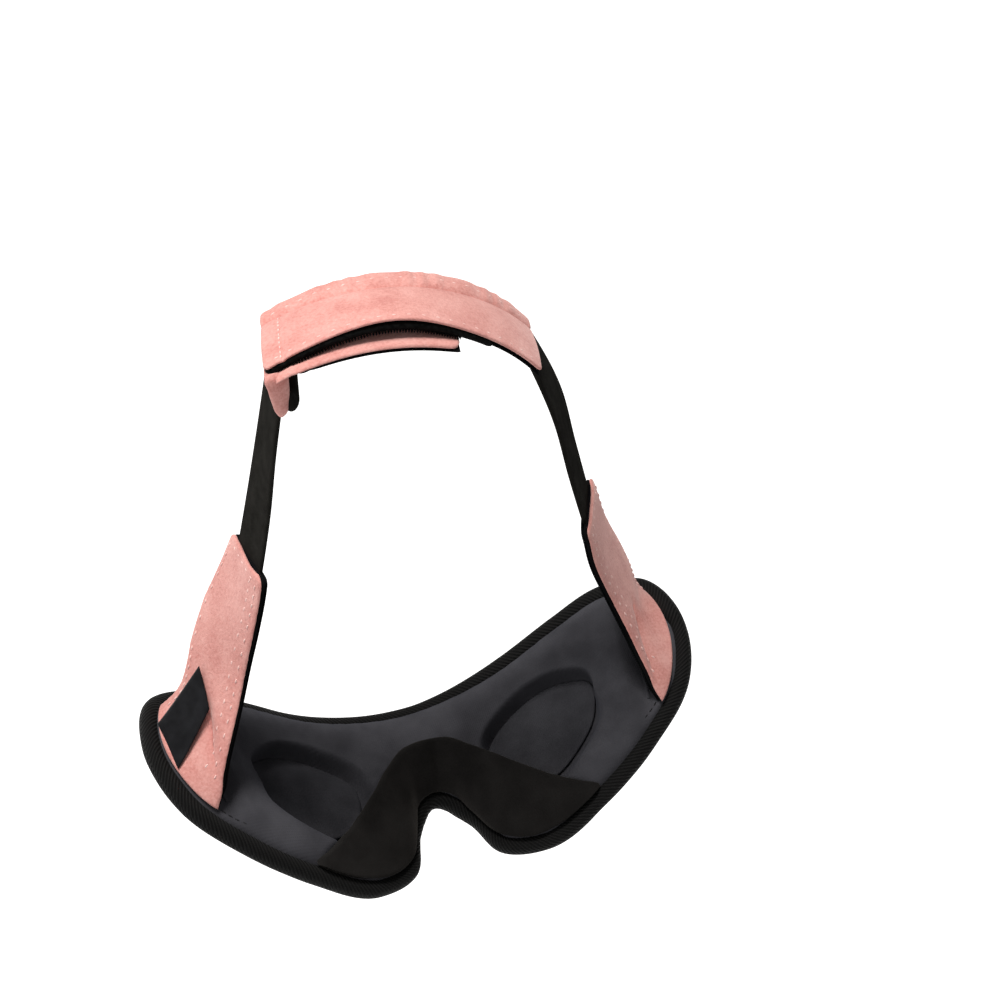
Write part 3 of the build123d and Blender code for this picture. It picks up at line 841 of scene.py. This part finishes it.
def flap_skin(name, points):
    """One of the flap's skins, over the points of its section from the first to the last given."""
    seam, up, normal, length, places = flap_frames()
    count = len(seam)
    part = slice(*points)
    outer, inner = [], []
    for i in range(count):
        section = flap_section(length[i], i / (count - 1))
        centre = np.array([section[:, 0].max() / 2, section[:, 1].mean()])
        chosen = section[part]
        ahead = np.gradient(section, axis=0)[part]
        away = np.column_stack([ahead[:, 1], -ahead[:, 0]])
        away /= np.linalg.norm(away, axis=1)[:, None] + 1e-9
        away *= np.sign(np.sum(away * (chosen - centre), 1))[:, None]
        taper = min(1.0, length[i] / 6)
        on_face = ease(chosen[:, 1] - FLAP_THICKNESS / 2)
        soft = 0.35 * ripple(i * 1.2, chosen[:, 0] * 1.4, 9, 4.4)
        soft = soft + flap_relief(places[i], chosen[:, 0] / length[i]) * on_face
        for target, depth in ((outer, 0.0), (inner, FLAP_SKIN)):
            pairs = chosen + away * (soft - depth)[:, None] * taper
            target.append(seam[i] + np.outer(pairs[:, 0], up[i]) + np.outer(pairs[:, 1], normal[i]))
    outer, inner = np.array(outer), np.array(inner)
    uv = np.stack(np.meshgrid(np.arange(count) * 1.2, np.arange(outer.shape[1]) * 1.1, indexing="ij"), -1)
    return slab(name, outer, inner, uv)


def flap_pad():
    """The flap's padding, a closed body inside its skins."""
    seam, up, normal, length, places = flap_frames(80)
    rings = []
    for i in range(4, len(seam) - 4):
        section = flap_section(length[i], i / (len(seam) - 1))[::2]
        on_face = section[:, 1] > FLAP_THICKNESS / 2
        section[:, 1] += flap_relief(places[i], section[:, 0] / length[i]) * on_face
        centre = section.mean(0)
        section = centre + (section - centre) * FLAP_PAD_SIZE
        section[:, 0] = np.clip(section[:, 0], 0.2, None)
        rings.append(seam[i] + np.outer(section[:, 0], up[i]) + np.outer(section[:, 1], normal[i]))
    return closed_loft("nose_flap_pad", rings)


# ---------------------------------------------------------------- the straps

def edges_at(station):
    x, height, width, twist = station
    return on_loop(x, height, -width / 2, twist), on_loop(x, height, width / 2, twist)


def corner_inset(distance, radius):
    """How far a rounded corner draws the edge in, at these distances from the sheet's end."""
    if not radius:
        return np.zeros_like(np.asarray(distance, float))
    gap = np.clip(radius - distance, 0, radius)
    return radius - np.sqrt(radius**2 - gap**2)


def strap_surface(near, far, side, rows, columns, corner=0.0, waist=0.0):
    """A grid between two edge lines, with normals away from the head."""
    fine = np.arange(400)
    near, far = [smooth_line(line, len(fine), even=False) for line in (near, far)]
    length = np.linalg.norm(np.diff(near, axis=0), axis=1).sum()
    width = np.linalg.norm(far[-1] - near[-1])
    s = soft_spread(rows)
    near, far = [np.stack([np.interp(s * fine[-1], fine, line[:, k]) for k in range(3)], 1)[:, None]
                 for line in (near, far)]
    drawn = corner_inset((1 - s) * length, corner)[:, None] / width
    waisted = waist / width * np.sin(pi * np.clip(s * 1.5, 0, 1))[:, None]
    t = (drawn + (1 - 2 * drawn - waisted) * soft_spread(columns))[..., None]
    surface = near * (1 - t) + far * t
    return surface, away_from_head(surface_normals(surface), side)


def surface_normals(surface):
    normals = np.cross(np.gradient(surface, axis=0), np.gradient(surface, axis=1))
    return normals / np.linalg.norm(normals, axis=2)[..., None]


def away_from_head(normals, side):
    """The normals of a sheet on this side of the head, all turned outwards."""
    return normals if (normals[..., 0].mean() > 0) == (side == "right") else -normals


def root_line(side):
    return [on_mask((SIGN[side] * u, v, ROOT_W)) for u, v in (ROOT_NEAR[side], ROOT_FAR)]


def wing_surface(side, foot):
    """The wing's middle surface; foot spreads its lower end out to the binding's seam."""
    pairs = [edges_at(station) for station in WING_STATIONS[side]]

    def edge(k):
        """A long edge, from just under the seam, by the place half way to the first station, to the end."""
        root = root_line(side)[k]
        reach = pairs[0][k] - root
        return [root - reach / np.linalg.norm(reach) * 0.6, root + reach * 0.5] + [pair[k] for pair in pairs]

    surface, normals = strap_surface(edge(0), edge(1), side, *WING_GRID, corner=3.5, waist=WING_WAIST[side])
    s = soft_spread(WING_GRID[0])[:, None]
    t = soft_spread(WING_GRID[1])[None, :]
    slope = radians(END_SLOPE)
    outward = np.array([SIGN[side] * cos(slope), 0, sin(slope)])
    sink = np.array([SIGN[side] * sin(slope), 0, -cos(slope)])
    spread = foot * np.sin(pi * t) ** 0.75 * np.clip(1 - s / 0.24, 0, 1) ** 1.8
    surface = surface + spread[..., None] * (outward + 0.25 * sink)
    wave = 0.5 * ripple(s * 70, t * 30, 17, 6.1 if side == "left" else 2.7)
    fold = np.exp(-((s - 0.07 - 0.5 * (t - 0.05)) / 0.062) ** 2) * ease((0.55 - t) / 0.2)
    wave = (wave - 3.0 * fold) * np.minimum(1, 4 * s)
    surface = surface + normals * wave[..., None]
    return surface, away_from_head(surface_normals(surface), side)


def ragged(surface, amount=0.22):
    """The same surface with its long edges cut a little unevenly."""
    rows = surface.shape[0]
    across = surface[:, -1] - surface[:, 0]
    across /= np.linalg.norm(across, axis=1)[:, None]
    jag = np.array([noise.noise(Vector((i * 0.9, 3.3, 0))) for i in range(rows)])[:, None] * amount
    made = surface.copy()
    made[:, 0] += across * jag
    made[:, -1] += across * jag[::-1]
    return made


def build_wing(side):
    """The velvet, padding, lining and embossed dashes of one wing, bending at its foot."""
    half = WING_PADDING / 2
    near = [root_line(side)[0]] + [edges_at(station)[0] for station in WING_STATIONS[side]]
    length = np.linalg.norm(np.diff(near, axis=0), axis=1).sum()
    surface, normals = wing_surface(side, FOOT_BULGE)
    outer = sheet_layer(side + "_wing_velvet", ragged(surface), normals, half + 0.05, half + WING_OUTER,
                        length, WING_WIDTH, puff=WING_PUFF)
    finish_piece(outer, "pink_velvet", [side + "_wing_outer"])
    under = wing_surface(side, FOOT_BULGE * 0.35)
    pad = sheet_layer(side + "_wing_foam", *under, -half, half * 0.9, length, WING_WIDTH, puff=0.5)
    finish_piece(pad, "foam", [side + "_wing_padding"], look="strap_lining")
    lining = sheet_layer(side + "_wing_backing", *under, -half - WING_LINING, -half - 0.05,
                         length, WING_WIDTH, puff=-0.3, radius=0.7)
    finish_piece(lining, "strap_lining", [side + "_wing_lining"])
    marks = wing_dashes(side, surface, normals, half + WING_OUTER, length)
    # The embossed dashes take a lighter pink: painted highlight.
    finish_piece(marks, "pink_velvet", look="pink_thread_and_dash_highlight")
    for piece in (outer, pad, lining, marks):
        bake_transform(piece)


def wing_dashes(side, surface, normals, top, length):
    """Rows of embossed dashes along both long edges and across the wing's end."""
    columns = surface.shape[1]
    along, across = np.gradient(surface, axis=0), np.gradient(surface, axis=1)
    places, ahead, up = [], [], []

    def put(s, t, direction):
        crown = WING_PUFF * (1 - (2 * grid_index(t, columns) / (columns - 1) - 1) ** 4)
        up.append(grid_value(normals, s, t))
        places.append(grid_value(surface, s, t) + up[-1] * (top + crown - 0.12))
        ahead.append(grid_value(direction, s, t))

    for inset in (2.6, 6.4, 28.4):
        for step in np.arange(8, length - 3, 4.8):
            put(step / length, inset / WING_WIDTH, along)
    for step in np.arange(6, 27, 4.3):
        put(1 - 2.8 / length, step / WING_WIDTH, across)
    return dashes(side + "_wing_dashes", places, ahead, up, (1.7, 0.62, 0.24))


def build_elastic(side):
    """One elastic, its ends tucked into the wing and the strap."""
    stations = ELASTIC_STATIONS[side]
    pairs = [np.array(edges_at(station)) for station in stations]
    for end, beside in ((0, 1), (-1, -2)):
        out = pairs[end].mean(0) - pairs[beside].mean(0)
        pairs[end] = pairs[end] + out / np.linalg.norm(out) * ELASTIC_TUCK
    lower, upper = (0, -1) if side == "left" else (-1, 0)
    inwards = on_loop(ARC_X, ARC_HEIGHT) - pairs[upper].mean(0)
    pairs[upper] = pairs[upper] + inwards / np.linalg.norm(inwards) * ELASTIC_LEAN
    near, far = [[pair[k] for pair in pairs] for k in (0, 1)]
    surface, normals = strap_surface(near, far, side, 70, 16)
    length = np.linalg.norm(np.diff(near, axis=0), axis=1).sum()
    half = ELASTIC_THICKNESS / 2
    made = sheet_layer(side + "_elastic_web", surface, normals, -half, half, length, stations[1][2],
                       radius=0.8)
    finish_piece(made, "elastic_web", [side + "_elastic"])
    start, end = pairs[lower].mean(0), pairs[upper].mean(0)
    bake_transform(made)


def arc_path(radius, start, end, count):
    angles = np.radians(np.linspace(start, end, count))
    return np.column_stack([ARC_X + radius * np.sin(angles), ARC_HEIGHT + radius * np.cos(angles)])


def loop_band(name, path, width, depths, columns=20, shift=0.0, corner=(0, 0), shape=None, radius=0.9):
    """A band along a path in the loop's plane; shape(s, t) lifts its surface and shift moves it across."""
    rows = len(path)
    ahead = np.gradient(path, axis=0)
    away = np.column_stack([-ahead[:, 1], ahead[:, 0]])
    away /= np.linalg.norm(away, axis=1)[:, None]
    if (away[rows // 2] @ (path[rows // 2] - (ARC_X, ARC_HEIGHT))) < 0:
        away = -away
    length = np.linalg.norm(np.diff(path, axis=0), axis=1).sum()
    s = np.linspace(0, 1, rows)
    t = soft_spread(columns)
    surface = np.empty((rows, columns, 3))
    normals = np.empty((rows, columns, 3))
    origin = on_loop(0, 0)
    drawn = np.maximum(corner_inset(s * length, corner[0]), corner_inset((1 - s) * length, corner[1]))
    for i in range(rows):
        normals[i] = on_loop(*away[i]) - origin
        for j in range(columns):
            offset = (t[j] - 0.5) * width * (1 - 2 * drawn[i] / width) + shift
            surface[i, j] = on_loop(*path[i]) + on_loop(0, 0, offset, STRAP_SKEW) - origin
    if shape is not None:
        surface = surface + normals * shape(s[:, None], t[None, :])[..., None]
        flat = surface_normals(surface)
        normals = flat * np.sign(np.sum(flat * normals, 2))[..., None]
    made = rounded_sheet(name, surface, normals, depths, (s, t), (length, width), radius)
    return made, surface, normals


def tab_lift(s, t):
    """The tab's crown: a groove near its far edge, a dropped rim, and a near edge that stands off."""
    line = 0.81 - 0.09 * np.sin(pi * s)
    groove = -0.95 * np.exp(-((t - line) / 0.028) ** 2)
    puckers = 0.16 * np.sin(s * 84 + 2.2 * np.sin(s * 23)) * ease((t - line) / 0.06)
    rim = -0.3 * ease((t - line) / 0.04) + 0.55 * ease((t - line) / 0.3) + puckers
    gape = 2.4 * np.exp(-((s - 0.42) / 0.2) ** 2) * (1 - t) ** 1.5
    near_puff = 0.7 * np.sin(pi * np.clip(t / line, 0, 1))
    far_puff = 0.5 * np.sin(pi * np.clip((t - line) / (1 - line), 0, 1))
    seam = -0.45 * np.exp(-((s - TAB_SEAM) / 0.008) ** 2) * (t < 0.76)
    return groove + rim + gape + near_puff + far_puff + seam


def build_tab():
    """The pink tab and its tail as one fabric along the loop's arc."""
    middle, half = sum(TAB_OUTER) / 2, (TAB_OUTER[1] - TAB_OUTER[0]) / 2
    path = arc_path(middle, TAB_END - 0.9, TAIL_END, 150)
    outer, surface, normals = loop_band("tab_velvet", path, STRAP_WIDTH + 0.6, (-half, half), 64, shift=0.6,
                                        shape=tab_lift, corner=(2.6, 2.6))
    finish_piece(outer, "pink_velvet", ["hook_tab_outer", "strap_tail_outer"])
    rows, columns = surface.shape[:2]
    along, across = np.gradient(surface, axis=0), np.gradient(surface, axis=1)
    places, ahead, up = [], [], []

    def put(i, share, height, direction):
        j = int(round(grid_index(share, columns)))
        places.append(surface[i, j] + normals[i, j] * height)
        ahead.append(direction[i, j])
        up.append(normals[i, j])

    for inset in (2.4, 28.6):
        for i in range(7, rows - 3, 7):
            put(i, inset / STRAP_WIDTH, half - 0.1, along)
    for share in np.arange(0.06, 0.74, 0.075):
        put(int(TAB_SEAM * rows), share, half + 0.1, across)
    marks = dashes("tab_dashes", places, ahead, up, (1.6, 0.5, 0.2))
    # Lighter pink: light thread at the cross seam, painted highlight on the embossed dashes along the edges.
    finish_piece(marks, "pink_velvet", look="pink_thread_and_dash_highlight")
    for piece in (outer, marks):
        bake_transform(piece)


def patch_lift(s, t):
    return 1.6 * np.exp(-((s - 0.54) / 0.26) ** 2) * (1 - t) ** 1.5 - 1.6 * ease((t - 0.75) / 0.2)


def build_hook_patch():
    """The hook tape under the tab, with its field of small hooks."""
    middle, half = sum(HOOKS) / 2, (HOOKS[1] - HOOKS[0]) / 2
    path = arc_path(middle, TAB_END - 1.1, PEEL_ANGLE - 0.15, 80)
    depths = (-half - 0.3, half + 0.15)
    tape, surface, normals = loop_band("hook_tape_backing", path, STRAP_WIDTH + 0.2, depths, 34,
                                       shape=patch_lift, corner=(2.8, 0))
    finish_piece(tape, "hook_tape", ["hook_patch"])
    points, faces = [], []
    rows, columns = surface.shape[:2]
    direction = np.gradient(surface, axis=0)
    over_pile = int(rows * (PILE_END + 1 - TAB_END) / (PEEL_ANGLE - TAB_END))
    for i in range(2, over_pile):
        for j in range(columns):
            up = normals[i, j]
            lean = direction[i, j] / np.linalg.norm(direction[i, j])
            aside = np.cross(up, lean)
            # The hooks stand long and black so that they also cover the pile where the tab's shadow falls
            # under its near edge: real hook tape, partly painted shade.
            height = 1.15 + 0.25 * noise.noise(Vector((i * 3.1, j * 2.7, 0)))
            for way in (-1, 1):
                start = len(points)
                base = surface[i, j] - up * (half - 0.1) + lean * way * 0.25
                for drop, slide, size in ((0, 0, 0.1), (0.6, 0.05, 0.09), (1.0, 0.35, 0.07)):
                    spot = base - up * drop * height + lean * slide * way * 0.6
                    points += [spot + lean * size, spot + aside * size]
                    points += [spot - lean * size, spot - aside * size]
                faces += grid_faces(3, 4, start, wrap=True)
                faces.append((start + 8, start + 9, start + 10, start + 11))
    hooks = mesh_object("hook_field", points, faces)
    finish_piece(hooks, "hook_tape")
    for piece in (tape, hooks):
        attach(piece, "hook_tab")


def tail_lift(s, t):
    return -1.2 * ease((t - 0.75) / 0.2)


def build_tail_lining():
    path = arc_path(sum(HOOKS) / 2, PEEL_ANGLE + 0.15, TAIL_END, 30)
    made, _, _ = loop_band("tail_backing", path, STRAP_WIDTH - 1, (-0.6, 0.6), 16, shape=tail_lift)
    finish_piece(made, "strap_lining", ["strap_tail_lining"])
    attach(made, "strap_tail")


def across_body(name, outline, near, far, uv_scale=1.0):
    """A rounded body: a closed outline in (x, height), carried across the strap from near to far."""
    origin = on_loop(0, 0)
    centre = outline.mean(0)
    rounding = ((0, 0.5), (0.35, 0.82), (1.1, 1.0))
    stations = [(near + step, size) for step, size in rounding] + [((near + far) / 2, 1.0)]
    stations += [(far - step, size) for step, size in reversed(rounding)]
    rings = []
    for place, size in stations:
        step = on_loop(0, 0, place, STRAP_SKEW) - origin
        rings.append([on_loop(x, height) + step for x, height in centre + (outline - centre) * size])
    uv = np.meshgrid(np.linspace(near, far, len(rings)), np.arange(len(outline)) * uv_scale, indexing="ij")
    return closed_loft(name, rings, uv=np.stack(uv, -1).reshape(-1, 2))


def pile_droop(s, t):
    """The pile strap's near edge hangs a little lower than the rest."""
    return -1.3 * ease((0.45 - t) / 0.45) * np.sin(pi * np.clip(s * 1.1, 0, 1)) ** 0.5


def build_pile_strap():
    """The strap under the tab, with its turned-down end and the elastic's rolled end behind it."""
    radius, half = sum(PILE) / 2, (PILE[1] - PILE[0]) / 2
    path = arc_path(radius, PILE_END, TAB_END + 1.0, 70)
    pile, _, _ = loop_band("pile_velvet", path, STRAP_WIDTH + 3.4, (-half, half), shift=-2.6,
                           shape=pile_droop, radius=0.7, corner=(3.5, 0))
    finish_piece(pile, "pink_velvet", ["back_strap_pile"])
    gap = radius - sum(PILE_LINING) / 2
    path = arc_path(radius, PILE_END, TAB_END + 6.0, 70)
    lining, _, _ = loop_band("pile_backing", path, STRAP_WIDTH + 3.8, (-gap - 0.35, -gap + 0.35), shift=-2.6,
                             shape=pile_droop, corner=(0, 3.5))
    finish_piece(lining, "strap_lining", ["back_strap_lining"])
    leg = across_body("pile_turned_end", smooth_line(LEG_OUTLINE, 48, closed=True), -19.2, 15.0)
    finish_piece(leg, "pink_velvet")
    angles = 2 * pi * np.arange(28) / 28
    oval = np.column_stack([np.cos(angles), np.sin(angles)]) * ROLL_SIZE + ROLL_CENTRE
    roll = across_body("elastic_roll", oval, -17.5, 13.5, 0.9)
    finish_piece(roll, "elastic_web")
    for piece in (pile, lining, leg, roll):
        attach(piece, "back_strap")


def build_label():
    """The blank satin label, folded double, sewn into the seam and leaning on the wing's outside."""
    surface, normals = wing_surface("left", FOOT_BULGE)
    sewn = [on_mask(place) for place in LABEL_SEWN]
    free = [grid_value(surface, *place) + grid_value(normals, *place) * LABEL_STANDOFF
            for place in LABEL_FREE]
    out = normals[8:30, 8:20].mean((0, 1))
    out /= np.linalg.norm(out)
    rows, t = soft_spread(30), soft_spread(14)
    low, top = [a + (b - a) * t[:, None] for a, b in (sewn, free)]
    grid = np.empty((len(rows), len(t), 3))
    for i, y in enumerate(rows):
        arch = -0.4 * sin(pi * y ** 0.8) + 1.2 * y * t ** 2
        grid[i] = low + (top - low) * y + out * arch[:, None]
    up = away_from_head(surface_normals(grid), "left")
    label = sheet_layer("side_label_satin", grid, up, 0.0, 0.8, 28, 16, radius=0.5)
    finish_piece(label, "label_satin", ["side_label"])
    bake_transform(label)


# ---------------------------------------------------------------- the whole mask

def dress_cad_parts():
    """Materials for the hard parts that stay as CAD made them."""
    looks = {
        "module_front_case": "case_plastic", "module_rear_case": "case_plastic", "circuit_board": "board",
        "battery": "cell_wrap", "snap_dome": "steel", "charge_light": "light_pipe", "usb_socket": "steel",
        "control_bezel": "soft_touch", "left_motor": "steel", "right_motor": "steel",
        "left_motor_lead": "lead_film", "right_motor_lead": "lead_film", "power_button": "soft_touch",
    }
    for node, look in looks.items():
        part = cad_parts[node]
        part.data.materials.clear()
        part.data.materials.append(MATERIALS[look])


def build_mask():
    grid = skin_grid()
    u, v, depth, cups = grid
    lining_w = lining_height(*grid)
    cover_w = cover_height(u, v, depth)
    lining = finish_piece(skin("lining_skin", grid, lining_w, SKIN_THICKNESS), "black_lining",
                          ["inner_lining"])
    cover = finish_piece(skin("cover_skin", grid, cover_w, -SKIN_THICKNESS), "pink_velvet",
                         ["front_cover"])
    pad = finish_piece(foam_body(grid, lining_w, cover_w), "foam", ["foam_core"])
    roll = finish_piece(binding_roll(), "binding_tape", ["edge_binding"])

    def inner_w(line):
        """The lining's height along the stitches, which stay about 9 mm from the cups."""
        return lining_height(line[:, 0], line[:, 1], STITCH_INSET, -9.0)

    def outer_w(line):
        return cover_height(line[:, 0], line[:, 1], STITCH_INSET)

    stitches = [binding_stitches(inner_w, 1, "inner_stitches"),
                binding_stitches(outer_w, -1, "outer_stitches")]
    for row in stitches:
        finish_piece(row, "binding_tape", look="black_thread")
    inserts = []
    for side, sign in SIGN.items():
        insert = cup_insert(sign, side + "_cup_insert")
        inserts.append(finish_piece(insert, "cup_fabric", [side + "_cup_floor"]))
    facing = finish_piece(flap_skin("nose_flap_front", FLAP_FACE_POINTS), "flap_fabric", ["nose_flap_facing"])
    backing = finish_piece(flap_skin("nose_flap_back", FLAP_BACK_POINTS), "flap_fabric",
                           ["nose_flap_backing"])
    flap = finish_piece(flap_pad(), "foam", ["nose_flap_padding"])
    strips = [seam_strip(side) for side in SIGN]
    for piece in [lining, cover, pad, roll, facing, backing, flap] + stitches + inserts + strips:
        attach(piece, "mask")


def seam_strip(side):
    """The strip that is sewn down along the inside of the wing's foot."""
    v = np.linspace(ROOT_NEAR[side][1] + 3, ROOT_FAR[1] - 3, 40)
    shifts = np.linspace(*SEAM_STRIP, 7)
    places = np.empty((len(v), len(shifts), 3))
    for j, shift in enumerate(shifts):
        places[:, j] = np.column_stack([SIGN[side] * (root_u(v) + shift), v, np.full(len(v), LOW_W + 0.1)])
    surface = on_mask(places)
    normals = on_mask(places + (0, 0, 1)) - surface
    width = SEAM_STRIP[1] - SEAM_STRIP[0]
    made = sheet_layer(side + "_seam_strip", surface, normals, 0.0, 0.6, 38, width, radius=0.5)
    return finish_piece(made, "black_lining", [side + "_wing_anchor"])


# ---------------------------------------------------------------- the studio

def add_camera():
    azimuth, elevation, roll = [radians(a) for a in CAMERA_AIM]
    back = Vector((sin(azimuth) * cos(elevation), -cos(azimuth) * cos(elevation), sin(elevation)))
    right = (-back).cross(Vector((0, 0, 1))).normalized()
    up = right.cross(-back)
    x_axis = right * cos(roll) + up * sin(roll)
    y_axis = up * cos(roll) - right * sin(roll)
    place = -CAMERA_SHIFT[0] * x_axis - CAMERA_SHIFT[1] * y_axis + CAMERA_DISTANCE * back
    data = bpy.data.cameras.new("camera")
    data.lens = 70
    data.sensor_width = 36
    data.clip_start = 0.01
    camera = bpy.data.objects.new("camera", data)
    bpy.context.scene.collection.objects.link(camera)
    turn = Matrix((x_axis, y_axis, back)).transposed().to_4x4()
    camera.matrix_world = Matrix.Translation(place * MM) @ turn
    bpy.context.scene.camera = camera


def add_area(name, place, target, size, power, tint=(1, 1, 1)):
    data = bpy.data.lights.new(name, "AREA")
    data.size = size
    data.energy = power
    data.color = tint
    light = bpy.data.objects.new(name, data)
    light.location = place
    light.rotation_euler = (Vector(target) - Vector(place)).to_track_quat("-Z", "Y").to_euler()
    bpy.context.scene.collection.objects.link(light)


def add_studio():
    """A pale floor some way below the hanging mask, a dim white surround and two soft lights."""
    size, level = 3.0, -0.30
    corners = [(-size, -size, level), (size, -size, level), (size, size, level), (-size, size, level)]
    floor = mesh_object("floor", np.array(corners) / MM, [(0, 1, 2, 3)], smooth=False)
    finish = Finish("floor_paper", 0.9, specular=0.1)
    finish.colour(finish.noise(400, 2), [(0.3, (0.93, 0.93, 0.93)), (0.7, (0.96, 0.96, 0.96))])
    finish.shader.inputs["Emission Color"].default_value = (1, 1, 1, 1)
    finish.shader.inputs["Emission Strength"].default_value = 0.62
    floor.data.materials.append(finish.made)
    world = bpy.data.worlds.new("surround")
    world.use_nodes = True
    world.node_tree.nodes["Background"].inputs["Color"].default_value = (1, 1, 1, 1)
    world.node_tree.nodes["Background"].inputs["Strength"].default_value = 0.21
    bpy.context.scene.world = world
    add_area("key", (-0.25, 0.42, 1.15), (0, 0, 0.08), 0.4, 15.0, (1.0, 0.985, 0.96))
    add_area("fill", (-1.1, -0.45, 0.7), (0, 0, 0.05), 0.9, 2.8, (0.97, 0.985, 1.0))
    bpy.context.scene.view_settings.view_transform = "Standard"


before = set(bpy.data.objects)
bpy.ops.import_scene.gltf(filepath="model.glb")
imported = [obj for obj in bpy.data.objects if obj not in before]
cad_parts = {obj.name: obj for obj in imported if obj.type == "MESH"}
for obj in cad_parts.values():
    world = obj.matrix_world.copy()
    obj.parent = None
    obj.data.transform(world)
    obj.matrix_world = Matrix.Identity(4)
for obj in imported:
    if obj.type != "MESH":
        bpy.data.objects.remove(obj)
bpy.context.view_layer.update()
MATERIALS = all_materials()
dress_cad_parts()
build_mask()
for side in SIGN:
    build_wing(side)
    build_elastic(side)
build_tab()
build_hook_patch()
build_tail_lining()
build_pile_strap()
build_label()
add_camera()
add_studio()
